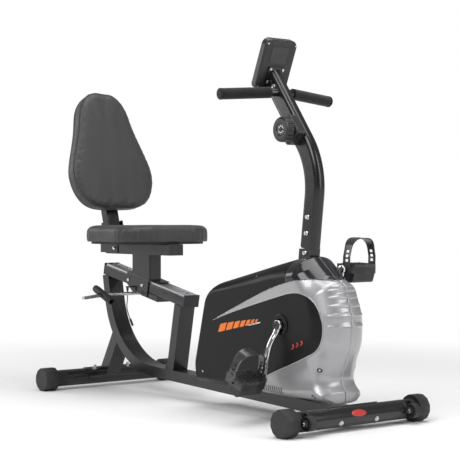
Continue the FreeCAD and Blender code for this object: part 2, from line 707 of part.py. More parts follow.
# ---- clamp block and seat lever ----------------------------------------------------------
b = body("clamp_block")
s = sketch(b, "XY_Plane", "clamp_block_section")
loop(s, [(-30, -20, 2), (30, -20, 2), (30, -1.0), (-30, -1.0)])
pad(b, s, 108, "clamp_block_pad")
q = Placement(rail_pt(-936, 0), rot_to(RU, V(0, 1, 0)))
if q.Rotation.multVec(V(0, 1, 0)).dot(RN) < 0:
    q = Placement(rail_pt(-936, 0), rot_to(RU, V(0, -1, 0)))
b.Placement = q
s = sketch(b, "YZ_Plane", "clamp_block_bore")
LX, LZ = -1030.0, 0.0
lev_u = 94 / CT                # station of the lever along the block
circle(s, -11.0, 96.0, 6.05, "clamp_block_bore")
pad(b, s, 120, "clamp_block_drill", sym=True, sub=True)
node(b)
lever_axis = q.multVec(V(0, -11.0, 96.0))
# zinc rod with a flattened, tapering paddle at its outer end
rod = cyl("lever_rod_bar", 6.0, 190, V(lever_axis.x, -176, lever_axis.z), (0, 1, 0))
b = body("lever_paddle")
s = sketch(b, "XY_Plane", "lever_paddle_outline")
loop(s, [(-8, 0), (8, 0), (12, 40, 8), (6, 98, 5), (-6, 98, 5), (-12, 40, 8)])
pd = pad(b, s, 9, "lever_paddle_pad", sym=True)
b.Placement = Placement(V(lever_axis.x, -172, lever_axis.z), Rotation(V(1, 0, 0), V(0, -0.995, -0.0998), V(0, 0.0998, -0.995), "ZXY"))
node(fuse("seat_lever", [rod, b]))
# open-ended grip tube across the rod
gd = V(-CT * 0.0 - 105, 0, 43).normalize()
gc = V(lever_axis.x, -188, lever_axis.z)
b = turned("lever_grip", [(0, -52), (11.5, -52, 1), (13, -40), (13, 40), (11.5, 58, 1), (0, 58)], gc, (-gd.x, 0, -gd.z))
hole = cyl("lever_grip_bore", 9.0, 26, gc - gd * 60, gd)
core = cyl("lever_grip_rod", 6.15, 80, V(lever_axis.x, -228, lever_axis.z), (0, 1, 0))
slot = box("lever_grip_pad_slot", 25.0, 22, 11, V(lever_axis.x, -196, lever_axis.z - 1.2))
g2 = cut("lever_grip_bored", b, hole)
g3 = cut("lever_grip_seated", g2, group("lever_grip_tools", [core, slot]))
b.Label = "lever_grip_blank"
node(g3, "lever_grip")

# ---- hanging lead with its connector ------------------------------------------------------
LEAD_R = 1.75


def route_tube(name, pts, r):
    """Straight runs joined by tangent arcs, each 0.45 of the shorter run."""
    V3 = [V(*p) for p in pts]
    segs, radii = [], []
    ends = [(V3[0], None, V3[0])]
    for k in range(1, len(V3) - 1):
        p = V3[k]
        a, c = (V3[k - 1] - p), (V3[k + 1] - p)
        t = 0.45 * min(a.Length, c.Length)
        a.normalize()
        c.normalize()
        ang = a.getAngle(c)
        rad = t * math.tan(ang / 2)
        radii.append(rad)
        bis = (a + c).normalize()
        mid = p + bis * (rad / math.sin(ang / 2) - rad)
        ends.append((p + a * t, mid, p + c * t))
    ends.append((V3[-1], None, V3[-1]))
    length = 0.0
    for k in range(len(ends)):
        e = ends[k]
        if e[1] is not None:
            ar = Part.Arc(e[0], e[1], e[2]).toShape()
            segs.append(ar)
            length += ar.Length
        if k < len(ends) - 1 and (ends[k + 1][0] - e[2]).Length > 1e-6:
            ls = Part.LineSegment(e[2], ends[k + 1][0]).toShape()
            segs.append(ls)
            length += ls.Length
    w = Part.Wire(segs)
    d0 = (V3[1] - V3[0]).normalize()
    prof = Part.Wire([Part.Circle(V3[0], d0, r).toShape()])
    sh = w.makePipeShell([prof], True, False)
    print(name, "length %.1f" % length, "volume ratio %.4f" % (sh.Volume / (length * math.pi * r * r)), "radii", ["%.1f" % q_ for q_ in radii])
    return sh, length


# ---- crank, shell and mast ------------------------------------------------------------------
CX, CZ = -D["crank_back"], D["crank_z"]
# mast: from the beam through the crank shell up to the handlebar post joint
ml = lambda z, dx: (-214.0 + (z - 290.0) * (24.0 / 210.0) + dx, z)
zb = lambda x: beam_bottom(x) + TH2 / math.cos(F0) + 0.02
b, p = prism_y("drive_mast", [ml(zb(-262), -25), ml(zb(-214), 25), ml(516, 25), ml(516, -25)], 40)
doc.recompute()
s = sketch(b, "XZ_Plane", "drive_mast_shell")
circle(s, CX, CZ, 21.02, "drive_mast_shell")
pad(b, s, 60, "drive_mast_eye", sym=True, sub=True)
node(b)
b = body("crank_shell")
s = sketch(b, "XZ_Plane", "crank_shell_section")
circle(s, 0, 0, 21.0, "crank_shell")
circle(s, 0, 0, 17.6, "crank_shell_bore")
pad(b, s, 70, "crank_shell_pad", sym=True)
b.Placement = Placement(P(CX, 0, CZ), Rotation())
node(b)
node(group("crank_bearings", [turned("crank_bearing%d" % k, ring(D["axle_r"] + 0.04, 17.58, 0, 9, 0.6), P(CX, side * 25, CZ), (0, side, 0)) for k, side in enumerate((-1, 1))]))
node(turned("crank_axle", [(0, -90.0), (D["axle_r"] - 0.5, -90.0), (D["axle_r"], -89.5), (D["axle_r"], 89.5), (D["axle_r"] - 0.5, 90.0), (0, 90.0)], P(CX, 0, CZ), (0, 1, 0)))

# crank pulley with five spokes and a ribbed rim
PY = 46.0                      # middle plane of the belt
b = body("crank_pulley")
s = sketch(b, "XZ_Plane", "crank_pulley_outline")
pr = D["pulley_r"]
loop(s, [(D["axle_r"] + 0.01, -9), (22, -9), (22, -3), (pr - 10, -3), (pr - 10, -6.5), (pr, -6.5), (pr, 6.5), (pr - 10, 6.5), (pr - 10, 3), (22, 3), (22, 9), (D["axle_r"] + 0.01, 9)])
revolve(b, s, "crank_pulley_turn")
s = sketch(b, "XY_Plane", "crank_pulley_window", 10.0)
loop(s, [(34, -17, 5), (pr - 16, -36, 8), (pr - 16, 36, 8), (34, 17, 5)])
pk = pad(b, s, 20, "crank_pulley_windowcut", sub=True)
polar(b, [pk], 5, "crank_pulley_windows")
b.Placement = Placement(P(CX, PY, CZ), rot_to(V(0, 1, 0)))
node(b)

# flywheel with its axle, bearings, small pulley and bracket plates
FX, FZ = -490.0, 235.0
b = body("flywheel")
s = sketch(b, "XZ_Plane", "flywheel_outline")
fr = D["fly_r"]
loop(s, [(15.02, -13), (26, -13), (26, -5), (fr - 30, -5), (fr - 26, -11), (fr - 1.5, -11), (fr, -9.5), (fr, 9.5), (fr - 1.5, 11), (fr - 26, 11), (fr - 30, 5), (26, 5), (26, 13), (15.02, 13)])
revolve(b, s, "flywheel_turn")
s = sketch(b, "XY_Plane", "flywheel_hole", 8.0)
circle(s, 54, 0, 11, "flywheel_hole")
pk = pad(b, s, 16, "flywheel_holecut", sub=True)
polar(b, [pk], 6, "flywheel_holes")
b.Placement = Placement(P(FX, 0, FZ), rot_to(V(0, 1, 0)))
node(b)
node(turned("flywheel_axle", [(0, -33), (5.0, -33), (5.0, 33), (0, 33)], P(FX, 0, FZ), (0, 1, 0)))
node(group("flywheel_nuts", [turned("flywheel_nut%d" % k, [(5.02, 0), (8.5, 0), (8.5, 5), (5.02, 5)], P(FX, side * 24.05, FZ), (0, side, 0)) for k, side in enumerate((-1,))]))
node(group("flywheel_bearings", [turned("flywheel_bearing%d" % k, ring(5.04, 15.0, 0, 8, 0.5), P(FX, side * 4, FZ), (0, side, 0)) for k, side in enumerate((-1, 1))]))
# the small pulley turns with the flywheel: a sleeve through the left plate's large hole
sp = D["small_pulley_r"]
node(turned("flywheel_pulley", [(8.0, 13.02), (14.0, 13.02), (14.0, 20), (11, 21), (11, PY - 9), (sp + 2.5, PY - 9), (sp + 2.5, PY - 6.5), (sp, PY - 6.5), (sp, PY + 6.5), (sp + 2.5, PY + 6.5), (sp + 2.5, PY + 9), (0, PY + 9), (0, PY - 8), (8.0, PY - 8)], P(FX, 0, FZ), (0, 1, 0)))
brk = []
for k, (y, hr) in enumerate(((-22.5, 5.0), (26.0, 14.2))):
    zt = lambda x: zb(x)
    bb, pp = prism_y("flywheel_plate%d" % k, [(-560, zt(-560)), (-420, zt(-420)), (-430, 150, 10), (-466, 236, 26), (-490, 268, 20), (-514, 236, 26), (-550, 150, 10)], 3.0, y, holes=[(FX, FZ, hr)])
    brk.append(bb)
node(group("flywheel_bracket", brk))

# magnetic brake: curved arm over the flywheel on a pivot, four magnets, a torsion spring
ag = math.radians(30)
MX, MZ = FX + 142 * math.cos(ag), FZ + 142 * math.sin(ag)


def fly_pt(r, deg):
    a = math.radians(deg)
    return V(FX + r * math.cos(a), FZ + r * math.sin(a), 0)


b = body("magnet_arm")
s = sketch(b, "XZ_Plane", "magnet_arm_outline")
s.addGeometry(Part.Arc(fly_pt(127, 30), fly_pt(127, 70), fly_pt(127, 112)), False)
s.addGeometry(Part.LineSegment(fly_pt(127, 112), fly_pt(131, 112)), False)
s.addGeometry(Part.Arc(fly_pt(131, 112), fly_pt(131, 74), fly_pt(131, 37)), False)
s.addGeometry(Part.LineSegment(fly_pt(131, 37), fly_pt(152, 34)), False)
s.addGeometry(Part.LineSegment(fly_pt(152, 34), fly_pt(152, 27)), False)
s.addGeometry(Part.LineSegment(fly_pt(152, 27), fly_pt(131, 27)), False)
s.addGeometry(Part.LineSegment(fly_pt(131, 27), fly_pt(127, 30)), False)
circle(s, MX, MZ, 3.06, "magnet_arm_pivot")
pad(b, s, 24, "magnet_arm_pad", sym=True)
b.Placement = Placement(V(SX, 0, 0), Rotation())
node(b)
mags = []
for k, dg in enumerate((48, 66, 84, 102)):
    rd = fly_pt(1, dg) - V(FX, FZ, 0)
    c = fly_pt(123.4, dg)
    mags.append(box("brake_magnet%d" % k, 5.5, 20, 26, P(c.x, 0, c.y), rot_to(V(-rd.y, 0, rd.x), (rd.x, 0, rd.y))))
node(group("brake_magnets", mags))
node(turned("magnet_pin", [(0, -18), (3.0, -18), (3.0, 18), (0, 18)], P(MX, 0, MZ), (0, 1, 0)))
mr = lambda z: ml(z, -25)[0] - 0.02
mb = []
for k, side in enumerate((-1, 1)):
    bb, pp = prism_y("magnet_bracket%d" % k, [(MX - 10, MZ - 10, 8), (mr(MZ - 30), MZ - 30), (mr(MZ + 30), MZ + 30), (MX - 10, MZ + 10, 8)], 3.0, side * 14.2, holes=[(MX, MZ, 3.02)])
    mb.append(bb)
node(group("magnet_bracket", mb))
hx = Part.makeHelix(2.4, 9.6, 5.0)
hx.Placement = Placement(V(0, 0, 0), Rotation())
pr_ = Part.Wire([Part.Circle(V(5.0, 0, 0), V(0, 1, 0), 0.8).toShape()])
sp_sh = Part.Wire(hx.Edges).makePipeShell([pr_], True, True)
sp_o = feature("magnet_spring", sp_sh)
sp_o.Placement = Placement(P(MX, 20.5, MZ), rot_to(V(0, 1, 0)))
node(sp_o)
hub_sp = turned("spring_post", [(0, 18.02), (3.6, 18.02), (3.6, 32), (6.2, 32), (6.2, 33.5), (0, 33.5)], P(MX, 0, MZ), (0, 1, 0))
node(hub_sp)

# poly-V belt round the two pulleys, and the idler that presses on its lower run
A2, B2 = V(CX, CZ, 0), V(FX, FZ, 0)
dv = A2 - B2
dd = dv.Length
dv.normalize()
pv = V(-dv.y, dv.x, 0)
snb = (D["pulley_r"] - D["small_pulley_r"]) / dd
csb = math.sqrt(1 - snb * snb)
nu = pv * csb - dv * snb
nl = V(0, 0, 0) - dv * snb - pv * csb


def belt_loop(s, off):
    ra, rb = D["pulley_r"] + off, D["small_pulley_r"] + off
    a1, a2 = A2 + nu * ra, A2 + nl * ra
    b1, b2 = B2 + nu * rb, B2 + nl * rb
    s.addGeometry(Part.LineSegment(b1, a1), False)
    s.addGeometry(Part.Arc(a1, A2 + dv * ra, a2), False)
    s.addGeometry(Part.LineSegment(a2, b2), False)
    s.addGeometry(Part.Arc(b2, B2 - dv * rb, b1), False)


b = body("drive_belt")
s = sketch(b, "XZ_Plane", "drive_belt_outline")
belt_loop(s, 0.35)
belt_loop(s, 3.35)
pad(b, s, 12, "drive_belt_pad", sym=True)
b.Placement = Placement(V(SX, PY, 0), Rotation())
node(b)
mid = (A2 + nl * D["pulley_r"] + B2 + nl * D["small_pulley_r"]) * 0.5
ic = mid + nl * (3.35 + 0.35 + 13.0)
node(turned("idler_wheel", [(4.06, PY - 8), (15, PY - 8), (15, PY - 6.6), (13, PY - 6.6), (13, PY + 6.6), (15, PY + 6.6), (15, PY + 8), (4.06, PY + 8)], P(ic.x, 0, ic.y), (0, 1, 0)))
node(turned("idler_bolt", [(0, 27.62), (7, 27.62), (7, 36.5), (4.0, 36.5), (4.0, PY + 8.5), (7, PY + 8.5), (7, PY + 13), (0, PY + 13)], P(ic.x, 0, ic.y), (0, 1, 0)))
b, p = prism_y("idler_bracket", [(ic.x - 26, zb(ic.x - 26)), (ic.x + 26, zb(ic.x + 26)), (ic.x + 12, ic.y + 14, 10), (ic.x - 12, ic.y + 14, 10)], 3.0, 26.1)
node(b)

# ---- housing: two black shells, two silver nose shells --------------------------------------
SH, SW = D["shell_half"], D["shell_wall"]
PROFILE = [(-652, 76, 24), (-664, 140, 90), (-598, 394, 80), (-168, 481, 16), (-84, 428, 8), (-44, 414, 38), (-8, 330, 90), (-8, 238, 110), (-55, 130, 26), (-30, 104, 7), (-30, 70, 2), (-320, 70, 2), (-330, 76, 2)]


def profile_face(inset, drop=0.0):
    w = Part.Wire([e.toShape() for e in loop_edges(PROFILE)])
    if inset:
        w = w.makeOffset2D(-inset)
    f = Part.Face(w)
    return f


def housing(inset, round_r, drop):
    """Side outline swept across, its long edges rounded, its front rounded in plan."""
    f = profile_face(inset)
    h = SH - inset
    f.Placement = Placement(V(0, h, 0), Rotation(V(1, 0, 0), 90)).multiply(f.Placement)
    sol = f.extrude(V(0, -2 * h, 0))
    if sol.ShapeType != "Solid":
        sol = sol.Solids[0]
    es = []
    for e in sol.Edges:
        if e.BoundBox.YLength < 1e-4 and e.BoundBox.ZMin > 78 - 4:
            es.append(e)
    try:
        fl = sol.makeFillet(round_r, es)
        if fl.isValid() and fl.Volume > 0.8 * sol.Volume:
            sol = fl
    except Exception as err:
        print("rounding", err)
    fx = -8 - inset
    rr = 84 - inset
    plan = loop_edges([(-700, -h - 5), (fx - 88, -h - 5), (fx - 88, -h), (fx, -h, rr), (fx, h, rr), (fx - 88, h), (fx - 88, h + 5), (-700, h + 5)])
    pf = Part.Face(Part.Wire([e.toShape() for e in plan]))
    pf.translate(V(0, 0, -20))
    pl = pf.extrude(V(0, 0, 620))
    sol = sol.common(pl)
    if drop:
        low = Part.Face(Part.Wire([e.toShape() for e in loop_edges([(-645, -h), (-40, -h), (-40, h), (-645, h)])]))
        low.translate(V(0, 0, 40))
        sol = sol.fuse(low.extrude(V(0, 0, drop)))
    return sol


outer = housing(0.0, 27.0, 0)
inner = housing(SW, 24.0, 60)
skin = outer.cut(inner)
# the beam passes under and into the housing
bz = [(-700, beam_bottom(-700) - 3), (20, beam_bottom(20) - 3), (20, beam_bottom(20) + TH2 + 0.8), (-700, beam_bottom(-700) + TH2 + 0.8)]
bmf = Part.Face(Part.Wire([e.toShape() for e in loop_edges(bz)]))
bmf.Placement = Placement(V(0, 30.8, 0), Rotation(V(1, 0, 0), 90)).multiply(bmf.Placement)
skin = skin.cut(bmf.extrude(V(0, -61.6, 0)))
for y0 in (-SH - 15, SH - 15):
    skin = skin.cut(Part.makeCylinder(23, 30, V(CX, y0, CZ), V(0, 1, 0)))
# louvres across the nose: shallow slanted slots
deep = housing(1.9, 26.0, 0)
band = outer.cut(deep)
for k in range(6):
    z = 409 - 20.5 * k + 0.8 * k * (k - 5) * 0.3
    half_y = 46 + 2.0 * k
    rows = []
    lo = Part.makeBox(140, 2 * half_y, 5.2 + 0.5 * k, V(-128, -half_y, z - 2.6))
    lo.rotate(V(-20, 0, z), V(0, 1, 0), 16)
    skin = skin.cut(band.common(lo))
# ten slanted vent slots low on both sides
for side in (-1, 1):
    for k in range(10):
        slit = Part.makeBox(3.2, 20, 21, V(-1.6, -10, -10.5))
        slit.rotate(V(0, 0, 0), V(0, 1, 0), -14)
        slit.translate(V(-303 + 10.2 * k, side * SH, 96 - 0.4 * k))
        skin = skin.cut(slit)
    # sunk seats for the screws that join the shells
    for x_, z_ in ((-340, 432), (-80, 90), (-41, 171), (-599, 119)):
        hit = Part.makeLine(V(x_, side * 140, z_), V(x_, 0, z_)).common(outer)
        if hit.Edges:
            ys = hit.BoundBox.YMin if side < 0 else hit.BoundBox.YMax
            skin = skin.cut(Part.makeCylinder(6.5, 12, V(x_, ys - side * 1.8, z_), V(0, side, 0)))
# outline of the silver piece seen from the side
up_pts = [(-548, 285), (-480, 314), (-411, 342), (-315, 379), (-244, 403), (-176, 420), (-128, 426), (-84, 437)]
lo_pts = [(-312, 122), (-267, 139), (-199, 165), (-131, 191), (-79, 212), (-50, 230), (-34, 254), (-28, 284), (-33, 314), (-50, 346), (-77, 370), (-110, 384), (-145, 389), (-180, 386), (-221, 377), (-315, 353), (-411, 327), (-480, 307), (-548, 285)]
cu = Part.BSplineCurve()
cu.interpolate([V(x, 0, z) for x, z in up_pts])
cl = Part.BSplineCurve()
cl.interpolate([V(x, 0, z) for x, z in lo_pts])
rest = [V(-84, 0, 437), V(40, 0, 450), V(40, 0, 40), V(-312, 0, 40), V(-312, 0, 122)]
ed = [cu.toShape()] + [Part.LineSegment(rest[k], rest[k + 1]).toShape() for k in range(4)] + [cl.toShape()]
cf = Part.Face(Part.Wire(Part.__sortEdges__(ed)))
claw = cf.extrude(V(0, 260, 0))
claw.translate(V(0, -130, 0))
silver = skin.common(claw)
black = skin.cut(claw)
# collar round the mast, its outside drawn in from the shell's top
def oval(cx, cz, hx_, hy_, tilt):
    c = Part.Ellipse(V(0, 0, 0), hx_, hy_).toShape()
    w = Part.Wire([c])
    w.Placement = Placement(V(cx, 0, cz), Rotation(V(0, 1, 0), tilt))
    return w


col_out = Part.makeLoft([oval(-143, 426, 76, 60, 10), oval(-156, 455, 60, 46, 2), oval(-176, 488, 46, 30, -3)], True, False)
col_in = Part.makeLoft([oval(-143, 424, 73, 57, 10), oval(-156, 455, 57, 43, 2), oval(-176, 490, 43.5, 27.5, -3)], True, False)
collar = col_out.cut(col_in)
black = black.cut(col_out)
silver = silver.cut(col_out)
mast_hole = Part.makeBox(70, 46, 120, V(-228, -23, 440))
black = black.cut(mast_hole)
for nm, sgn in (("right", -1), ("left", 1)):
    hb = Part.makeBox(800, 150, 620, V(-720, 0.2 if sgn > 0 else -150.2, 0))
    for lab, sh in (("shroud_", black), ("nose_", silver)):
        piece = sh.common(hb)
        sols = sorted(piece.Solids, key=lambda q_: -q_.Volume)
        piece = sols[0]
        o = feature(lab + nm, piece)
        o.Placement = Placement(V(SX, 0, 0), Rotation())
        node(o)
mast_room = Part.makeBox(51.0, 41.0, 160, V(-25.5, -20.5, 0))
mast_room.rotate(V(0, 0, 0), V(0, 1, 0), math.degrees(math.atan(24.0 / 210.0)))
mast_room.translate(V(ml(400, 0)[0], 0, 400))
collar = collar.cut(mast_room)
co = sorted(collar.cut(outer).Solids, key=lambda q_: -q_.Volume)[0]
o = feature("post_collar", co)
o.Placement = Placement(V(SX, 0, 0), Rotation())
node(o)
for nm, side in (("right", -1), ("left", 1)):
    node(turned("hub_ring_" + nm, [(19.5, 0.02), (34, 0.02), (34, 2.4, 1), (30, 4.2, 1), (22, 4.2), (19.5, 3.2)], P(CX, side * SH, CZ), (0, side, 0)))

# ---- handlebar post ---------------------------------------------------------------------------
PB = 36.5
hb0 = (-186.0, 519.0)
l1 = 151.0 / math.cos(math.radians(7))
hb1 = (hb0[0] + l1 * math.sin(math.radians(7)), 670.0)
pc_ = (hb1[0] - 230 * math.cos(math.radians(7)), hb1[1] + 230 * math.sin(math.radians(7)))
am = math.radians((PB - 7) / 2)
ae = math.radians(PB)
hbm = (pc_[0] + 230 * math.cos(am), pc_[1] + 230 * math.sin(am))
hb2 = (pc_[0] + 230 * math.cos(ae), pc_[1] + 230 * math.sin(ae))
hb3 = (hb2[0] - 300 * math.sin(ae), hb2[1] + 300 * math.cos(ae))
CU = V(0.3891, 0, 0.9212)
CN = V(-0.9212, 0, 0.3891)
CB = P(-340.0, 0, 1075.5)       # middle of the console's back face
b = body("handlebar_post")
path = sketch(b, "XZ_Plane", "handlebar_post_path")
path.addGeometry(Part.LineSegment(V(hb0[0], hb0[1], 0), V(hb1[0], hb1[1], 0)), False)
path.addGeometry(Part.Arc(V(hb1[0], hb1[1], 0), V(hbm[0], hbm[1], 0), V(hb2[0], hb2[1], 0)), False)
path.addGeometry(Part.LineSegment(V(hb2[0], hb2[1], 0), V(hb3[0], hb3[1], 0)), False)
sec = b.newObject("Sketcher::SketchObject", "handlebar_post_section")
sec.AttachmentSupport = [(origin_part(b, "XY_Plane"), "")]
sec.MapMode = "FlatFace"
sec.AttachmentOffset = Placement(V(hb0[0], 0, hb0[1]), Rotation(V(0, 1, 0), 7))


def stadium(s, lx, ly, r):
    for g_ in loop_edges([(-lx / 2, -ly / 2, r), (lx / 2, -ly / 2, r), (lx / 2, ly / 2, r), (-lx / 2, ly / 2, r)]):
        s.addGeometry(g_, False)


stadium(sec, 64, 38, 15)
stadium(sec, 60, 34, 13)
pipe = b.newObject("PartDesign::AdditivePipe", "handlebar_post_sweep")
pipe.Profile = sec
pipe.Spine = path
b.Tip = pipe
b.Placement = Placement(V(SX, 0, 0), Rotation())
crot = Rotation(V(0, -1, 0), CU, CN, "ZXY")
top_cut = box("handlebar_post_top", 120, 260, 200, CB - CN * 4.0 + CN * 100, crot)
BARP = P(-318, 0, 990)
bar_hole = cyl("handlebar_post_eye", D["bar_r"] + 0.05, 80, BARP - V(0, 40, 0), (0, 1, 0))
b.Label = "handlebar_post_blank"
hp = cut("handlebar_post_cut", b, group("handlebar_post_tools", [top_cut, bar_hole]))
node(hp, "handlebar_post")
pbt = []
for k, (x, z) in enumerate(((-182, 562), (-176, 610))):
    pbt.append(turned("post_bolt%d" % k, [(0, 0), (8, 0), (8, 2), (6, 3.6), (6, 5.8), (0, 6.2)], P(x, -19.05, z), (0, -1, 0)))
pbt.append(turned("post_bolt9", [(0, 0), (8, 0), (8, 2), (6, 3.6), (6, 5.8), (0, 6.2)], P(-187, -20.05, 503), (0, -1, 0)))
node(group("post_bolts", pbt))

# sleeve that joins the post to the mast
b = body("post_sleeve")
sec = b.newObject("Sketcher::SketchObject", "post_sleeve_section")
sec.AttachmentSupport = [(origin_part(b, "XY_Plane"), "")]
sec.MapMode = "FlatFace"
stadium(sec, 59.6, 33.6, 12.8)
stadium(sec, 54, 28, 10)
pad(b, sec, 130, "post_sleeve_pad")
b.Placement = Placement(P(hb0[0] - 2.98 * math.sin(math.radians(7)), 0, hb0[1] - 2.98), Rotation(V(0, 1, 0), 7))
node(b)

# ---- handlebar, grips and end plugs ------------------------------------------------------------
b = body("handlebar")
path = sketch(b, "XY_Plane", "handlebar_path")
for g_ in loop_edges([(-29, -214), (0, -28, 60), (0, 28, 60), (-29, 214)], closed=False):
    path.addGeometry(g_, False)
sec = b.newObject("Sketcher::SketchObject", "handlebar_section")
sec.AttachmentSupport = [(origin_part(b, "XZ_Plane"), "")]
sec.MapMode = "FlatFace"
dirb = V(29, 186, 0).normalize()
sec.AttachmentSupport = None
sec.MapMode = "Deactivated"
sec.Placement = Placement(V(-29, -214, 0), rot_to(dirb))
circle(sec, 0, 0, "bar_r", "handlebar")
circle(sec, 0, 0, D["bar_r"] - 1.8, "handlebar_bore")
pipe = b.newObject("PartDesign::AdditivePipe", "handlebar_sweep")
pipe.Profile = sec
pipe.Spine = path
b.Tip = pipe
tiltb = Rotation(V(1, 0, 0), V(0, 1, 0), V(0, 0, 1), "ZXY")
HBR = Rotation(V(0, 1, 0), -27.0)      # the bar's plane drops towards its rearward ends
b.Placement = Placement(BARP, HBR)
node(b)
for nm, side in (("right", -1), ("left", 1)):
    e0 = BARP + HBR.multVec(V(-29 * (44 - 28) / 186.0, side * 44, 0))
    e1 = BARP + HBR.multVec(V(-29, side * 214, 0))
    dg_ = (e1 - e0).normalize()
    L = (e1 - e0).Length
    gr = D["grip_r"]
    node(turned("grip_" + nm, [(D["bar_r"] + 0.02, 0), (gr - 1.5, 0), (gr, 1.5), (gr, L - 0.8), (gr - 0.8, L), (D["bar_r"] + 0.02, L)], e0, (dg_.x, dg_.y, dg_.z)))
    if nm == "right":
        bar_caps = []
    bar_caps.append(turned("bar_plug_" + nm, [(0, L - 18), (D["bar_r"] - 1.9, L - 18), (D["bar_r"] - 1.9, L + 0.02), (gr + 0.4, L + 0.02), (gr + 0.4, L + 4.5), (gr - 2, L + 7.5, 2), (0, L + 8.5)], e0, (dg_.x, dg_.y, dg_.z)))
node(group("bar_plugs", bar_caps))
node(turned("bar_bolt", [(0, 0), (8.5, 0), (8.5, 2), (6.5, 2.4), (6.5, 7), (0, 8.5)], P(-333, -19.05, 1010), (0, -1, 0)))

# ---- console ------------------------------------------------------------------------------------


def con(x, y, z):
    """Point in the console's own axes: right, up its face, towards the rider."""
    return CB + crot.multVec(V(x, y, z))


def con_body(name, pts, z0, thick):
    b = body(name)
    s = sketch(b, "XY_Plane", name + "_outline", z0)
    for g_ in loop_edges(pts):
        s.addGeometry(g_, False)
    p = pad(b, s, thick, name + "_pad")
    b.Placement = Placement(CB, crot)
    return b, p


CW, CH = 62.0, 80.0
shape = lambda i: [(-CW + i, -CH + i, 14 - i), (CW - i, -CH + i, 14 - i), (CW - i, CH - i, 22 - i), (-CW + i, CH - i, 22 - i)]
b, p = con_body("console_back", shape(0), 0.0, 17.0)
fillet(b, p, lambda e: e.CenterOfMass.sub(V(0, 0, 0)).z < 0.01 and e.BoundBox.ZLength < 1e-6, 6.0, "console_back_round")
s = sketch(b, "XY_Plane", "console_back_hollow", 17.0)
for g_ in loop_edges(shape(2.5)):
    s.addGeometry(g_, False)
pad(b, s, 14.0, "console_back_cavity", sub=True)
s = sketch(b, "XY_Plane", "console_back_bay", 0.0)
for g_ in loop_edges([(-30, 6, 4), (34, 6, 4), (34, 58, 4), (-30, 58, 4)]):
    s.addGeometry(g_, False)
pad(b, s, 1.6, "console_back_recess", rev=True, sub=True)
node(b)
b, p = con_body("console_front", shape(0), 17.02, 10.0)
fillet(b, p, lambda e: e.CenterOfMass.z > 27.0 and e.BoundBox.ZLength < 1e-6, 5.0, "console_front_round")
s = sketch(b, "XY_Plane", "console_front_hollow", 17.02)
for g_ in loop_edges(shape(2.5)):
    s.addGeometry(g_, False)
pad(b, s, 7.0, "console_front_cavity", rev=True, sub=True)
s = sketch(b, "XY_Plane", "console_front_window", 27.02)
for g_ in loop_edges([(-44, 4, 5), (44, 4, 5), (44, 62, 5), (-44, 62, 5)]):
    s.addGeometry(g_, False)
pad(b, s, 12, "console_front_windowcut", sub=True)
s = sketch(b, "XY_Plane", "console_front_keys", 27.02)
for k in (-1, 1):
    circle(s, 30.0 * k, -34.0, 8.3, "console_front_key")
pad(b, s, 12, "console_front_keycut", sub=True)
node(b)
b, p = con_body("lcd_lens", [(-43.9, 4.1, 5), (43.9, 4.1, 5), (43.9, 61.9, 5), (-43.9, 61.9, 5)], 24.2, 2.2)
node(b)
b, p = con_body("lcd_panel", [(-42, 6), (42, 6), (42, 60), (-42, 60)], 20.4, 3.6)
node(b)
b, p = con_body("console_board", [(-54, -70), (54, -70), (54, 68), (-54, 68)], 15.0, 1.6)
node(b)
b, p = con_body("key_panel", [(-48, -62, 14), (48, -62, 14), (48, -10, 14), (-48, -10, 14)], 27.04, 5.0)
fillet(b, p, lambda e: e.CenterOfMass.z > 32.0 and e.BoundBox.ZLength < 1e-6, 3.0, "key_panel_round")
s = sketch(b, "XY_Plane", "key_panel_holes", 32.04)
for k in (-1, 1):
    circle(s, 30.0 * k, -34.0, 8.3, "key_panel_hole")
pad(b, s, 12, "key_panel_cut", sub=True)
node(b)
for nm, k in (("mode_button", -1), ("set_button", 0), ("reset_button", 1)):
    node(turned(nm, [(0, 18.9), (5.0, 18.9), (5.0, 20.2), (10.2, 20.2), (10.2, 21.6), (8.0, 21.6), (8.0, 34.4, 0.8), (0, 35.6)], con(30.0 * k, -34.0, 0), (CN.x, CN.y, CN.z)))
b, p = con_body("battery_cover", [(-29.8, 6.2, 4), (33.8, 6.2, 4), (33.8, 57.8, 4), (-29.8, 57.8, 4)], -0.6, 2.1)
node(b)
b, p = con_body("console_bracket", [(-31, -60, 5), (31, -60, 5), (31, -4, 5), (-31, -4, 5)], -3.95, 3.9)
node(b)
cs = []
for k, (x, y) in enumerate(((-24, -12), (24, -12), (-24, -52), (24, -52))):
    cs.append(turned("console_bolt%d" % k, [(0, 0), (5, 0), (5, 2.2), (3.5, 3.6), (0, 4.0)], con(x, y, -3.98), (-CN.x, 0, -CN.z)))
node(group("console_bolts", cs))
cs = []
for k, (x, y) in enumerate(((-54, 66), (54, 66), (-54, -70), (54, -70))):
    cs.append(turned("console_screw%d" % k, [(0, 0), (3.0, 0), (3.0, 1.0), (0, 1.2)], con(x, y, -0.02), (-CN.x, 0, -CN.z)))
node(group("console_screws", cs))

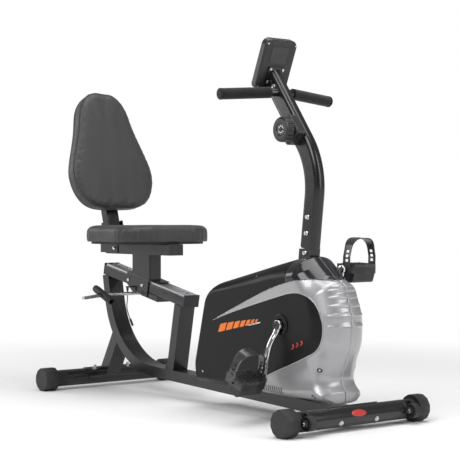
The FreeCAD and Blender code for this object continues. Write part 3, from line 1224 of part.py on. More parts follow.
# ---- tension knob -------------------------------------------------------------------------------
KX, KZ = -232.0, 871.0
b = body("tension_base")
s = sketch(b, "XY_Plane", "tension_base_outline")
for g_ in loop_edges([(-34, -36, 10), (34, -36, 10), (34, 36, 10), (-34, 36, 10)]):
    s.addGeometry(g_, False)
p = pad(b, s, 30.0, "tension_base_pad")
fillet(b, p, lambda e: e.CenterOfMass.z > 29.9 and e.BoundBox.ZLength < 1e-6, 5.0, "tension_base_round")
UPP = V(-math.sin(ae), 0, math.cos(ae))
b.Placement = Placement(P(KX, -19.05, KZ), rot_to(V(0, -1, 0), (UPP.z, 0, -UPP.x)))
s = sketch(b, "XY_Plane", "tension_base_hole", 30.0)
circle(s, 0, 0, 6.06, "tension_base_hole")
pad(b, s, 22, "tension_base_bore", sub=True)
node(b)
kr = D["knob_r"]
b = body("tension_knob")
s = sketch(b, "XZ_Plane", "tension_knob_outline")
loop(s, [(0, 10), (6.0, 10), (6.0, 31), (kr - 6, 31), (kr, 36, 2), (kr, 56, 3), (kr - 7, 60.5, 3), (20, 60.5), (17, 57.5), (0, 57.5)])
revolve(b, s, "tension_knob_turn")
s = sketch(b, "XY_Plane", "tension_knob_flute", 62.0)
circle(s, kr + 2.2, 0, 4.6, "tension_knob_flute")
pk = pad(b, s, 34, "tension_knob_flutecut", sub=True)
polar(b, [pk], 20, "tension_knob_flutes")
b.Placement = Placement(P(KX, -19.05, KZ), rot_to(V(0, -1, 0), (1, 0, 0)))
node(b)

# ---- cranks and pedals -----------------------------------------------------------------------------
CLN = D["crank_len"]
PP = D["pedal_plane"]


def crank_arm(name, d, side):
    """Bowed arm: local X along the arm, local Y outwards, local Z across."""
    b = body(name)
    s = sketch(b, "XZ_Plane", name + "_hub")
    y0 = 84.0
    s.AttachmentOffset = Placement(V(0, 0, -y0), Rotation())
    circle(s, 0, 0, 16.5, name + "_hub")
    pad(b, s, 22, name + "_hubpad", rev=True)
    s = sketch(b, "XY_Plane", name + "_outline")
    for g_ in loop_edges([(-2, 95.5), (20, 95.5, 26), (66, 117, 56), (CLN + 2, 121), (CLN + 2, 133.6), (60, 130, 60), (18, 107, 26), (-2, 106)]):
        s.addGeometry(g_, False)
    pad(b, s, 22, name + "_web", sym=True)
    s = sketch(b, "XZ_Plane", name + "_boss")
    s.AttachmentOffset = Placement(V(0, 0, -(PP - 9)), Rotation())
    circle(s, CLN, 0, 14.0, name + "_boss")
    p_ = pad(b, s, 15, name + "_bosspad", rev=True)
    s = sketch(b, "XZ_Plane", name + "_seat")
    s.AttachmentOffset = Placement(V(0, 0, -(y0 - 1)), Rotation())
    circle(s, 0, 0, D["axle_r"] + 0.02, name + "_seat")
    pad(b, s, 7.6, name + "_seatbore", sub=True)
    s = sketch(b, "XZ_Plane", name + "_eye")
    s.AttachmentOffset = Placement(V(0, 0, -(PP - 10)), Rotation())
    circle(s, CLN, 0, D["spindle_r"] + 0.02, name + "_eye")
    pad(b, s, 20, name + "_eyebore", sub=True)
    x = V(d[0], 0, d[1]).normalize()
    y = V(0, side, 0)
    b.Placement = Placement(P(CX, 0, CZ), Rotation(x, y, x.cross(y), "ZXY"))
    return b


dr = V(-36, -160, 0).normalize()
for nm, side, d in (("right", -1, (dr.x, dr.y)), ("left", 1, (-dr.x, -dr.y))):
    node(crank_arm("crank_arm_" + nm, d, side))
node(group("crank_caps", [turned("crank_cap_" + nm, [(0, 0.02), (12, 0.02), (12, 2.4), (9, 4.4, 1), (0, 4.8)], P(CX, side * 106, CZ), (0, side, 0)) for nm, side in (("right", -1), ("left", 1))]))

for nm, side, d, pitch in (("right", -1, dr, 22.0), ("left", 1, -dr, 2.0)):
    cx_, cz_ = CX + d.x * CLN, CZ + d.y * CLN
    c = P(cx_, side * PP, cz_)
    node(turned("pedal_spindle_" + nm, [(0, -8.5), (D["spindle_r"], -8.5), (D["spindle_r"], 106), (0, 106)], c, (0, side, 0)))
    # local X forward, local Y outwards, local Z up, then pitched about the spindle
    pr0 = Rotation(V(0, 1, 0), pitch)
    hand = side
    b = body("pedal_" + nm)
    s = sketch(b, "YZ_Plane", "pedal_hub_" + nm)
    s.AttachmentSupport = None
    s.MapMode = "Deactivated"
    s.Placement = Placement(V(0, 11, 0) if side > 0 else V(0, -11, 0), rot_to(V(0, side, 0)))
    circle(s, 0, 0, 12.5, "pedal_hub_" + nm)
    pad(b, s, 96, "pedal_hubpad_" + nm)
    s = sketch(b, "XY_Plane", "pedal_tread_" + nm, 8.0)
    y0, y1 = side * 10.0, side * 112.0
    loop(s, [(-40, y0, 6), (34, y0, 16), (46, (y0 + y1) / 2, 60), (34, y1, 16), (-40, y1, 6)])
    pad(b, s, 8.0, "pedal_treadpad_" + nm)
    # the tread rides over the hub, with side walls down past it
    s = sketch(b, "XY_Plane", "pedal_wall_" + nm, -12.0)
    loop(s, [(-40, y0, 6), (34, y0, 14), (44, (y0 + y1) / 2, 60), (34, y1, 14), (-40, y1, 6)])
    loop(s, [(-36, y0 + side * 4), (32, y0 + side * 4, 10), (39, (y0 + y1) / 2, 50), (32, y1 - side * 4, 10), (-36, y1 - side * 4)])
    pad(b, s, 22.0, "pedal_wallpad_" + nm)
    # counterweight bucket that keeps the tread upright
    s = sketch(b, "XZ_Plane", "pedal_bucket_" + nm)
    s.AttachmentOffset = Placement(V(0, 0, -(y0 + y1) / 2), Rotation())
    loop(s, [(-30, -10), (34, -10), (24, -40, 8), (-18, -40, 8)])
    pad(b, s, 86, "pedal_bucketpad_" + nm, sym=True)
    s = sketch(b, "XZ_Plane", "pedal_bore_" + nm)
    s.AttachmentOffset = Placement(V(0, 0, -(y0 + y1) / 2), Rotation())
    circle(s, 0, 0, D["spindle_r"] + 0.06, "pedal_bore_" + nm)
    pad(b, s, 130, "pedal_borecut_" + nm, sym=True, sub=True)
    s = sketch(b, "XY_Plane", "pedal_grip_" + nm, 16.0)
    for ix in range(6):
        for iy in range(5):
            rect(s, 5.5, 9.0, "pedal_stud", -27 + 11.0 * ix, y0 + side * (19 + 16.0 * iy))
    pad(b, s, 2.2, "pedal_grips_" + nm)
    b.Placement = Placement(c, pr0)
    node(b)
    # strap: flat band that rises on both sides of the tread and arches over the foot
    ya, yb = side * 10.0, side * 112.0
    ym = (ya + yb) / 2
    b = body("pedal_strap_" + nm)
    s = sketch(b, "YZ_Plane", "pedal_strap_outline_" + nm)
    hw = abs(yb - ya) / 2.0
    o_ = [(ym - hw - 3.2, 7.2), (ym - hw - 3.2, 40, 20), (ym - hw + 10, 96, 46), (ym + hw - 10, 96, 46), (ym + hw + 3.2, 40, 20), (ym + hw + 3.2, 7.2)]
    i_ = [(ym + hw + 0.2, 7.2), (ym + hw + 0.2, 39, 18), (ym + hw - 12.5, 92.6, 43), (ym - hw + 12.5, 92.6, 43), (ym - hw - 0.2, 39, 18), (ym - hw - 0.2, 7.2)]
    for g_ in loop_edges(o_ + i_):
        s.addGeometry(g_, False)
    pad(b, s, 34, "pedal_strap_pad_" + nm, sym=True)
    b.Placement = Placement(c, pr0)
    node(b)

# ---- hanging lead under the carriage ----------------------------------------------------------------
lead_pts = [(-1086, -52, 351), (-1085, -52, 326), (-1092, -52, 300), (-1084, -52, 276), (-1068, -53, 256)]
gl = turned("lead_gland", [(0, 0), (4.5, 0), (4.5, 7), (2.6, 14), (0, 14)], P(-1086, -52, 365.02), (0, 0, -1))
LEADX = lead_pts
sh, ln = route_tube("hanging_lead", [(P(*q).x, q[1], q[2]) for q in lead_pts], LEAD_R)
o = feature("hanging_lead", sh)
node(o)
node(gl, "lead_gland")
e1, e0 = V(*lead_pts[-1]), V(*lead_pts[-2])
dl = (e1 - e0).normalize()
node(turned("lead_connector", [(0, 0.02), (3.2, 0.02), (4.0, 3), (4.0, 26), (3.2, 28, 0.5), (0, 28)], P(*lead_pts[-1]), (dl.x, dl.y, dl.z)))
node(box("lead_clip", 16, 20, 4, P(-1086, -44.5, 367.1)), "lead_clip")

# ---- pieces that are welded together, and like fasteners kept as one group ------------------------------


def flat(objs):
    out = []
    for o in objs:
        if o.TypeId == "Part::Compound":
            out += flat(o.Links)
        else:
            out.append(o)
    return out


def take(names):
    got = []
    for n in names:
        o = [q_ for q_ in NODES if q_.Label == n][0]
        NODES.remove(o)
        o.Label = n + "_piece"
        got.append(o)
    return got


def weld(name, names):
    node(fuse(name, take(names)), name)


def gather(name, names):
    node(group(name, flat(take(names))), name)


weld("main_frame", ["main_tube", "rear_brace", "front_post", "front_saddle", "rear_saddle"])
gather("stabilizers", ["front_stabilizer", "rear_stabilizer"])
gather("end_caps", ["front_cap_right", "front_cap_left", "rear_cap_right", "rear_cap_left"])
gather("stabilizer_bolts", ["front_bolts", "front_nuts", "rear_bolts", "rear_nuts", "wheel_pins"])
i = [j for j, o in enumerate(NODES) if o.Label == "seat_carriage"][0]
NODES[i].Label = "seat_carriage_blank"
o = cut("seat_carriage_drilled", NODES[i], cyl("seat_carriage_drill", 6.4, 22, V(lever_axis.x, -44, lever_axis.z), (0, 1, 0)))
o.Label = "seat_carriage"
NODES[i] = o
i = [j for j, o in enumerate(NODES) if o.Label == "back_tube"][0]
NODES[i].Label = "back_tube_blank"
o = cut("back_tube_trimmed", NODES[i], box("back_tube_trim", 140, 80, 60, P(-1250, 0, 488.02)))
o.Label = "back_tube"
NODES[i] = o
weld("seat_mount", ["seat_carriage", "carriage_lip", "seat_column"])

weld("seat_bracket", ["seat_channel", "channel_floor", "channel_front", "back_gussets"])
gather("seat_fasteners", ["seat_bolts", "back_bolts", "gusset_bolts", "carriage_bolts"])
gather("pad_boards", ["seat_board", "back_board"])
weld("mast", ["drive_mast", "crank_shell", "post_sleeve"])
gather("bearings_and_pins", ["crank_bearings", "flywheel_bearings", "flywheel_axle", "flywheel_nuts", "magnet_pin", "idler_bolt", "spring_post"])
gather("drive_brackets", ["flywheel_bracket", "magnet_bracket", "idler_bracket"])
gather("hub_rings", ["hub_ring_right", "hub_ring_left"])
gather("handle_grips", ["grip_right", "grip_left", "bar_plugs"])
gather("frame_screws", ["track_screws", "post_bolts", "bar_bolt", "console_bolts", "console_screws"])
gather("electronics", ["console_board", "lcd_panel"])
gather("crank_shafts", ["crank_axle", "pedal_spindle_right", "pedal_spindle_left"])
weld("console_post", ["handlebar_post", "console_bracket"])
gather("lead_anchor", ["lead_clip", "lead_gland"])
for n_ in ("slide_pads", "crank_caps", "set_button"):
    o_ = [q_ for q_ in NODES if q_.Label == n_][0]
    NODES.remove(o_)

# ---- check and write ----------------------------------------------------------------------------------
doc.recompute()
bad = []
for o in doc.Objects:
    st = list(o.State)
    if "Invalid" in st or "Error" in st:
        bad.append((o.Name, st))
if bad:
    print("failed objects", bad)
bb = None
for o in NODES:
    sh = o.Shape
    if sh.isNull() or not sh.isValid() or not sh.Solids:
        print("bad shape", o.Label, sh.isNull(), None if sh.isNull() else sh.isValid())
        bad.append((o.Label, "shape"))
        continue
    for sol in sh.Solids:
        if sol.Volume <= 0:
            bad.append((o.Label, "volume"))
            print("bad volume", o.Label)
    bb = FreeCAD.BoundBox(sh.BoundBox) if bb is None else bb.united(sh.BoundBox)
print("nodes", len(NODES), "box", bb)
labels = [o.Label for o in NODES]
if len(set(labels)) != len(labels):
    raise SystemExit("two nodes share a name: %s" % sorted(labels))
if bad:
    raise SystemExit("failed: %s" % bad)
for o in NODES:
    o.Shape.exportStep("parts/%s.step" % o.Label)
print("wrote", len(NODES), "nodes")
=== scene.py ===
import bpy, bmesh, math, json
from mathutils import Vector, Matrix, Euler
from mathutils.bvhtree import BVHTree
from mathutils import noise as mnoise


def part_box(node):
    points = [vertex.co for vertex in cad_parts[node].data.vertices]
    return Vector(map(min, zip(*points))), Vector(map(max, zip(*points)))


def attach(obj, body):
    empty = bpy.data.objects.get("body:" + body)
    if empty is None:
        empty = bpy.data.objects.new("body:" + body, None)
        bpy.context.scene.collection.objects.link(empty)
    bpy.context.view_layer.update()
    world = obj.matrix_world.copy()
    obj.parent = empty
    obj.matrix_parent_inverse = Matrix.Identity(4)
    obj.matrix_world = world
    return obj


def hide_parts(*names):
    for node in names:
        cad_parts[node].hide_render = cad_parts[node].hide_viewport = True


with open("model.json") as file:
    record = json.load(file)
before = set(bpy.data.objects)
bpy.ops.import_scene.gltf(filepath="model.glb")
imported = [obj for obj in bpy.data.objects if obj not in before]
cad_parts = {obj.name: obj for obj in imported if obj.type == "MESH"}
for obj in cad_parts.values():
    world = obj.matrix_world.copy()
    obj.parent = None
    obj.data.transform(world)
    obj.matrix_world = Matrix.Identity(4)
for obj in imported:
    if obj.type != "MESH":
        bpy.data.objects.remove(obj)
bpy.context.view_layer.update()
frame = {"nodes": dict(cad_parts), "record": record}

N = frame["nodes"]
scene = bpy.context.scene
SX = 0.66105


def F(x, y, z):
    """Point given in mm from the front stabilizer's axis, in metres in the row frame."""
    return Vector((SX + x / 1000.0, y / 1000.0, z / 1000.0))


# ---------------------------------------------------------------- camera, floor, light
cam_d = bpy.data.cameras.new("camera")
cam = bpy.data.objects.new("camera", cam_d)
scene.collection.objects.link(cam)
scene.camera = cam
cam_d.lens = 104.16
cam_d.sensor_width = 36.0
cam_d.clip_start = 0.1
cam_d.clip_end = 60
a, e = math.radians(51.8), math.radians(0.52)
w = Vector((-math.sin(a) * math.cos(e), math.cos(a) * math.cos(e), -math.sin(e)))
r = Vector((math.cos(a), math.sin(a), 0))
u = r.cross(w)
m = Matrix((r, u, -w)).transposed().to_4x4()
m.translation = Vector((3.44775, -2.644, 0.6076))
cam.matrix_world = m


def new_mat(name):
    mt = bpy.data.materials.new(name)
    mt.use_nodes = True
    nt = mt.node_tree
    return mt, nt, nt.nodes["Principled BSDF"]


fl_mesh = bpy.data.meshes.new("floor")
bm = bmesh.new()
bmesh.ops.create_grid(bm, x_segments=1, y_segments=1, size=60)
bm.to_mesh(fl_mesh)
bm.free()
floor = bpy.data.objects.new("floor", fl_mesh)
scene.collection.objects.link(floor)
floor.location.z = -0.0004
fm, nt, bs = new_mat("studio_floor")
bs.inputs["Base Color"].default_value = (0.93, 0.93, 0.93, 1)
bs.inputs["Roughness"].default_value = 0.85
bs.inputs["Specular IOR Level"].default_value = 0.1
# horizon fade: the floor turns to the white of the backdrop away from the object
tc = nt.nodes.new("ShaderNodeTexCoord")
ln = nt.nodes.new("ShaderNodeVectorMath")
ln.operation = "LENGTH"
mr = nt.nodes.new("ShaderNodeMapRange")
mr.interpolation_type = "SMOOTHSTEP"
mr.inputs["From Min"].default_value = 0.9
mr.inputs["From Max"].default_value = 2.6
em = nt.nodes.new("ShaderNodeEmission")
em.inputs[0].default_value = (1, 1, 1, 1)
em.inputs[1].default_value = 1.0
ms = nt.nodes.new("ShaderNodeMixShader")
nt.links.new(tc.outputs["Object"], ln.inputs[0])
nt.links.new(ln.outputs["Value"], mr.inputs["Value"])
nt.links.new(mr.outputs["Result"], ms.inputs[0])
nt.links.new(bs.outputs[0], ms.inputs[1])
nt.links.new(em.outputs[0], ms.inputs[2])
nt.links.new(ms.outputs[0], nt.nodes["Material Output"].inputs[0])
fl_mesh.materials.append(fm)

world = bpy.data.worlds.new("studio")
scene.world = world
world.use_nodes = True
bg = world.node_tree.nodes["Background"]
bg.inputs[0].default_value = (1, 1, 1, 1)
bg.inputs[1].default_value = 0.26
wn = world.node_tree
lp = wn.nodes.new("ShaderNodeLightPath")
bg2 = wn.nodes.new("ShaderNodeBackground")
bg2.inputs[0].default_value = (1, 1, 1, 1)
bg2.inputs[1].default_value = 1.0
mx = wn.nodes.new("ShaderNodeMixShader")
wn.links.new(lp.outputs["Is Camera Ray"], mx.inputs[0])
wn.links.new(bg.outputs[0], mx.inputs[1])
wn.links.new(bg2.outputs[0], mx.inputs[2])
wn.links.new(mx.outputs[0], wn.nodes["World Output"].inputs[0])


def area(name, loc, target, size, power, size_y=None):
    d = bpy.data.lights.new(name, "AREA")
    d.energy = power
    d.size = size
    if size_y:
        d.shape = "RECTANGLE"
        d.size_y = size_y
    o = bpy.data.objects.new(name, d)
    scene.collection.objects.link(o)
    o.location = loc
    o.rotation_euler = (Vector(target) - Vector(loc)).to_track_quat("-Z", "Y").to_euler()
    return o


area("key", (1.2, -2.9, 3.0), (0, 0, 0.5), 2.2, 78)
area("top", (0.3, 0.3, 3.4), (0.1, 0, 0.4), 2.4, 62)
area("left", (-3.0, -1.8, 1.6), (-0.3, 0, 0.5), 1.6, 26)
area("right", (3.0, 1.2, 1.8), (0.5, 0, 0.5), 1.2, 30, 2.2)
scene.view_settings.view_transform = "Standard"
scene.view_settings.exposure = 0.0


# ---------------------------------------------------------------- materials
def rgba(c):
    return (c[0], c[1], c[2], 1.0)


class Mat:
    """A shader with procedural colour, roughness and relief, all from object coordinates."""

    def __init__(self, name, color, rough, metallic=0.0, spec=0.5, coat=0.0, coat_rough=0.08, sheen=0.0, aniso=0.0):
        self.mat, self.nt, self.bs = new_mat(name)
        b = self.bs.inputs
        b["Metallic"].default_value = metallic
        b["Specular IOR Level"].default_value = spec
        b["Coat Weight"].default_value = coat
        b["Coat Roughness"].default_value = coat_rough
        b["Sheen Weight"].default_value = sheen
        b["Sheen Roughness"].default_value = 0.4
        b["Anisotropic"].default_value = aniso
        b["Base Color"].default_value = rgba(color)
        b["Roughness"].default_value = rough
        self.color, self.rough = color, rough
        self.tc = self.nt.nodes.new("ShaderNodeTexCoord")
        self.normal = None
        self.col_sock = None

    def coords(self, scale=(1, 1, 1), rot=(0, 0, 0)):
        mp = self.nt.nodes.new("ShaderNodeMapping")
        mp.inputs["Scale"].default_value = scale
        mp.inputs["Rotation"].default_value = rot
        self.nt.links.new(self.tc.outputs["Object"], mp.inputs["Vector"])
        return mp.outputs["Vector"]

    def tex(self, kind, scale, vec=None, detail=3.0, rough=0.55, feature="F1"):
        if kind == "noise":
            t = self.nt.nodes.new("ShaderNodeTexNoise")
            t.inputs["Detail"].default_value = detail
            t.inputs["Roughness"].default_value = rough
            out = t.outputs["Fac"]
        elif kind == "voronoi":
            t = self.nt.nodes.new("ShaderNodeTexVoronoi")
            t.feature = feature
            out = t.outputs["Distance"]
        elif kind == "cells":
            t = self.nt.nodes.new("ShaderNodeTexVoronoi")
            out = t.outputs["Color"]
        t.inputs["Scale"].default_value = scale
        self.nt.links.new(vec or self.tc.outputs["Object"], t.inputs["Vector"])
        return out

    def ramp(self, sock, stops):
        rp = self.nt.nodes.new("ShaderNodeValToRGB")
        el = rp.color_ramp.elements
        while len(el) < len(stops):
            el.new(0.5)
        for k, (p, c) in enumerate(stops):
            el[k].position = p
            el[k].color = rgba(c)
        self.nt.links.new(sock, rp.inputs["Fac"])
        return rp.outputs["Color"]

    def vary(self, scale, amount, vec=None, kind="noise", lo=0.3, hi=0.7):
        c = self.color
        d = [v * (1 - amount) for v in c]
        l = [min(1.0, v * (1 + amount)) for v in c]
        s = self.ramp(self.tex(kind, scale, vec), [(lo, d), (hi, l)])
        self.mix_color(s)
        return self

    def mix_color(self, sock, fac=None, blend="MIX"):
        if self.col_sock is None:
            self.col_sock = sock
        else:
            mx = self.nt.nodes.new("ShaderNodeMix")
            mx.data_type = "RGBA"
            mx.blend_type = blend
            if fac is None:
                mx.inputs[0].default_value = 0.5
            elif isinstance(fac, float):
                mx.inputs[0].default_value = fac
            else:
                self.nt.links.new(fac, mx.inputs[0])
            self.nt.links.new(self.col_sock, mx.inputs[6])
            self.nt.links.new(sock, mx.inputs[7])
            self.col_sock = mx.outputs[2]
        self.nt.links.new(self.col_sock, self.bs.inputs["Base Color"])

    def wear(self, color, lo=0.53, hi=0.60, strength=0.6):
        """Edges rub a little lighter."""
        g = self.nt.nodes.new("ShaderNodeNewGeometry")
        mr = self.nt.nodes.new("ShaderNodeMapRange")
        mr.inputs["From Min"].default_value = lo
        mr.inputs["From Max"].default_value = hi
        mr.inputs["To Max"].default_value = strength
        self.nt.links.new(g.outputs["Pointiness"], mr.inputs["Value"])
        nz = self.tex("noise", 90.0, detail=5)
        mu = self.nt.nodes.new("ShaderNodeMath")
        mu.operation = "MULTIPLY"
        self.nt.links.new(mr.outputs["Result"], mu.inputs[0])
        self.nt.links.new(nz, mu.inputs[1])
        c = self.nt.nodes.new("ShaderNodeRGB")
        c.outputs[0].default_value = rgba(color)
        if self.col_sock is None:
            b = self.nt.nodes.new("ShaderNodeRGB")
            b.outputs[0].default_value = rgba(self.color)
            self.col_sock = b.outputs[0]
        self.mix_color(c.outputs[0], mu.outputs[0])
        return self

    def rough_var(self, scale, lo, hi, vec=None, detail=4.0):
        mr = self.nt.nodes.new("ShaderNodeMapRange")
        mr.inputs["From Min"].default_value = 0.3
        mr.inputs["From Max"].default_value = 0.7
        mr.inputs["To Min"].default_value = lo
        mr.inputs["To Max"].default_value = hi
        self.nt.links.new(self.tex("noise", scale, vec, detail), mr.inputs["Value"])
        self.nt.links.new(mr.outputs["Result"], self.bs.inputs["Roughness"])
        return self

    def bump(self, sock, strength, distance, invert=False):
        bp = self.nt.nodes.new("ShaderNodeBump")
        bp.inputs["Strength"].default_value = strength
        bp.inputs["Distance"].default_value = distance
        bp.invert = invert
        self.nt.links.new(sock, bp.inputs["Height"])
        if self.normal is not None:
            self.nt.links.new(self.normal, bp.inputs["Normal"])
        self.normal = bp.outputs["Normal"]
        self.nt.links.new(self.normal, self.bs.inputs["Normal"])
        return self


MT = {}


def powder(name, c, rough=0.34, grain=900.0):
    q = Mat(name, c, rough, spec=0.5, coat=0.25, coat_rough=0.18)
    q.vary(5.0, 0.08)
    q.wear((0.05, 0.05, 0.052), 0.56, 0.66, 0.35)
    q.rough_var(30.0, rough - 0.03, rough + 0.04)
    q.bump(q.tex("noise", grain, detail=2), 0.05, 0.0004)
    return q.mat


MT["black_frame"] = powder("black_powder_coat", (0.0035, 0.0035, 0.004), 0.24)
q = Mat("extruded_aluminium", (0.56, 0.57, 0.59), 0.38, metallic=0.85)
ax = q.coords((9.0, 500.0, 900.0), (0, math.radians(-11.2), 0))
q.vary(1.0, 0.16, ax)
q.rough_var(1.0, 0.30, 0.48, ax)
q.bump(q.tex("noise", 1.0, ax, 2), 0.12, 0.0004)
MT["track_aluminium"] = q.mat
q = Mat("black_rubber", (0.018, 0.018, 0.019), 0.55, spec=0.4)
q.vary(12.0, 0.25)
q.wear((0.07, 0.07, 0.07))
q.rough_var(60.0, 0.42, 0.62)
q.bump(q.tex("noise", 1500.0, detail=2), 0.15, 0.0004)
q.bump(q.tex("noise", 120.0), 0.1, 0.0008)
MT["black_rubber"] = q.mat
q = Mat("zinc_plate", (0.60, 0.60, 0.62), 0.26, metallic=1.0)
q.vary(180.0, 0.22, kind="noise")
q.rough_var(220.0, 0.16, 0.38)
q.bump(q.tex("noise", 700.0), 0.14, 0.0003)
MT["zinc_steel"] = q.mat
q = Mat("machined_steel", (0.42, 0.42, 0.44), 0.3, metallic=1.0)
ax = q.coords((40.0, 1400.0, 40.0))
q.vary(1.0, 0.2, ax)
q.rough_var(1.0, 0.22, 0.42, ax)
q.bump(q.tex("noise", 1.0, ax, 2), 0.1, 0.0003)
MT["machined_steel"] = q.mat
q = Mat("polished_chrome", (0.66, 0.66, 0.68), 0.09, metallic=1.0)
q.vary(40.0, 0.06)
q.rough_var(90.0, 0.05, 0.16)
q.bump(q.tex("noise", 25.0), 0.05, 0.0008)
MT["crank_chrome"] = q.mat
q = Mat("flywheel_paint", (0.10, 0.10, 0.11), 0.45, metallic=0.6)
q.vary(30.0, 0.3)
q.bump(q.tex("noise", 500.0), 0.3, 0.0006)
MT["flywheel_iron"] = q.mat
q = Mat("belt_rubber", (0.014, 0.014, 0.014), 0.6)
q.vary(60.0, 0.3)
q.bump(q.tex("noise", 900.0), 0.3, 0.0005)
MT["belt_rubber"] = q.mat
q = Mat("satin_black_moulding", (0.0045, 0.0045, 0.005), 0.40, spec=0.26)
q.vary(6.0, 0.14)
q.rough_var(18.0, 0.33, 0.43)
q.wear((0.07, 0.07, 0.07), 0.54, 0.62, 0.4)
q.bump(q.tex("voronoi", 1900.0), 0.16, 0.00035)
q.bump(q.tex("noise", 30.0, detail=1), 0.05, 0.002)
MT["shroud_black"] = q.mat
q = Mat("silver_metallic_paint", (0.40, 0.40, 0.41), 0.36, metallic=0.55, spec=0.5, coat=0.6, coat_rough=0.09)
q.vary(2600.0, 0.16, kind="noise", lo=0.35, hi=0.65)
big = q.ramp(q.tex("noise", 5.0, detail=1), [(0.3, (0.38, 0.38, 0.39)), (0.7, (0.43, 0.43, 0.44))])
q.mix_color(big, 0.5)
q.rough_var(14.0, 0.34, 0.42)
q.bump(q.tex("noise", 2400.0, detail=1), 0.05, 0.0002)
q.bump(q.tex("noise", 26.0, detail=1), 0.04, 0.002)
MT["nose_silver"] = q.mat
q = Mat("dark_gloss", (0.010, 0.0095, 0.013), 0.24, spec=0.4, coat=0.45, coat_rough=0.05)
q.vary(8.0, 0.15)
q.rough_var(24.0, 0.12, 0.22)
q.bump(q.tex("noise", 28.0, detail=1), 0.05, 0.002)
MT["collar_gloss"] = q.mat
q = Mat("closed_cell_foam", (0.011, 0.011, 0.0115), 0.82, spec=0.3, sheen=0.25)
q.vary(25.0, 0.25)
q.bump(q.tex("voronoi", 1300.0), 0.45, 0.0006)
q.bump(q.tex("noise", 260.0), 0.2, 0.0008)
MT["foam_black"] = q.mat
q = Mat("pedal_moulding", (0.014, 0.014, 0.015), 0.42)
q.vary(20.0, 0.25)
q.wear((0.13, 0.13, 0.13), 0.53, 0.6, 0.7)
q.rough_var(80.0, 0.34, 0.52)
q.bump(q.tex("noise", 1100.0, detail=2), 0.2, 0.0004)
MT["pedal_plastic"] = q.mat
q = Mat("strap_moulding", (0.034, 0.034, 0.036), 0.27, spec=0.6, coat=0.3, coat_rough=0.15)
q.vary(14.0, 0.2)
q.wear((0.14, 0.14, 0.14), 0.53, 0.6, 0.5)
q.rough_var(50.0, 0.22, 0.34)
q.bump(q.tex("noise", 300.0), 0.1, 0.0005)
MT["strap_plastic"] = q.mat
q = Mat("console_moulding", (0.013, 0.013, 0.0145), 0.32, spec=0.5)
q.vary(10.0, 0.2)
q.wear((0.10, 0.10, 0.105), 0.53, 0.61, 0.5)
q.rough_var(40.0, 0.27, 0.40)
q.bump(q.tex("voronoi", 2100.0), 0.14, 0.0003)
MT["console_plastic"] = q.mat
q = Mat("key_panel_grey", (0.55, 0.56, 0.58), 0.45)
q.vary(30.0, 0.07)
q.rough_var(60.0, 0.4, 0.5)
q.bump(q.tex("noise", 1500.0, detail=1), 0.08, 0.0003)
MT["key_grey"] = q.mat
q = Mat("lcd_window", (0.06, 0.075, 0.06), 0.06, spec=0.6, coat=1.0, coat_rough=0.03)
q.vary(60.0, 0.12)
q.rough_var(80.0, 0.04, 0.1)
MT["lens_clear"] = q.mat
q = Mat("circuit_board", (0.03, 0.14, 0.06), 0.4)
q.vary(400.0, 0.5, kind="noise")
q.bump(q.tex("noise", 300.0), 0.3, 0.0006)
MT["board_green"] = q.mat
q = Mat("painted_board", (0.016, 0.0155, 0.015), 0.6)
ax = q.coords((14.0, 220.0, 220.0))
q.vary(1.0, 0.35, ax)
q.bump(q.tex("noise", 1.0, ax, 4), 0.35, 0.0006)
MT["board_wood"] = q.mat


def leatherette(name, c):
    q = Mat(name, c, 0.46, spec=0.45, sheen=0.10)
    q.vary(9.0, 0.12)
    mott = q.ramp(q.tex("noise", 260.0, detail=4), [(0.35, [v * 0.86 for v in c]), (0.65, [v * 1.12 for v in c])])
    q.mix_color(mott, 0.5)
    q.rough_var(45.0, 0.40, 0.54)
    q.bump(q.tex("voronoi", 620.0, feature="DISTANCE_TO_EDGE"), 0.30, 0.0006)
    q.bump(q.tex("noise", 1500.0, detail=2), 0.12, 0.0003)
    wr = q.coords((26.0, 9.0, 9.0))
    q.bump(q.tex("noise", 1.0, wr, 3), 0.30, 0.004)
    return q.mat


MT["seat_leatherette"] = leatherette("dark_grey_leatherette", (0.036, 0.036, 0.037))
MT["piping"] = leatherette("piping_leatherette", (0.042, 0.042, 0.043))
q = Mat("nylon_pulley", (0.03, 0.03, 0.03), 0.5)
q.vary(40.0, 0.3)
q.bump(q.tex("noise", 500.0), 0.2, 0.0005)
MT["pulley_plastic"] = q.mat
q = Mat("magnet_nickel", (0.3, 0.3, 0.32), 0.25, metallic=1.0)
q.vary(50.0, 0.15)
q.rough_var(90.0, 0.2, 0.35)
MT["magnet_grey"] = q.mat
q = Mat("cable_jacket", (0.012, 0.012, 0.012), 0.5)
q.vary(100.0, 0.3)
q.bump(q.tex("noise", 900.0), 0.15, 0.0003)
MT["cable_black"] = q.mat
q = Mat("orange_print", (0.86, 0.19, 0.012), 0.38)
q.vary(120.0, 0.06)
q.rough_var(300.0, 0.33, 0.45)
MT["orange_print"] = q.mat
q = Mat("white_print", (0.72, 0.72, 0.75), 0.4)
q.vary(120.0, 0.05)
MT["white_print"] = q.mat
q = Mat("red_print", (0.55, 0.022, 0.016), 0.35, coat=0.4)
q.vary(90.0, 0.08)
MT["red_print"] = q.mat
# near-black for real seams, and also painted shade for the housing's vent slits and screw recesses
q = Mat("seam_dark", (0.006, 0.006, 0.006), 0.7)
q.vary(90.0, 0.3)
MT["seam_dark"] = q.mat
q = Mat("dull_silver_print", (0.25, 0.25, 0.26), 0.4)
q.vary(90.0, 0.1)
MT["dull_print"] = q.mat
q = Mat("lcd_face", (0.24, 0.28, 0.22), 0.5)
q.vary(30.0, 0.05)
MT["lcd_face"] = q.mat
q = Mat("lcd_digit", (0.012, 0.014, 0.012), 0.4)
q.vary(60.0, 0.2)
MT["lcd_digit"] = q.mat

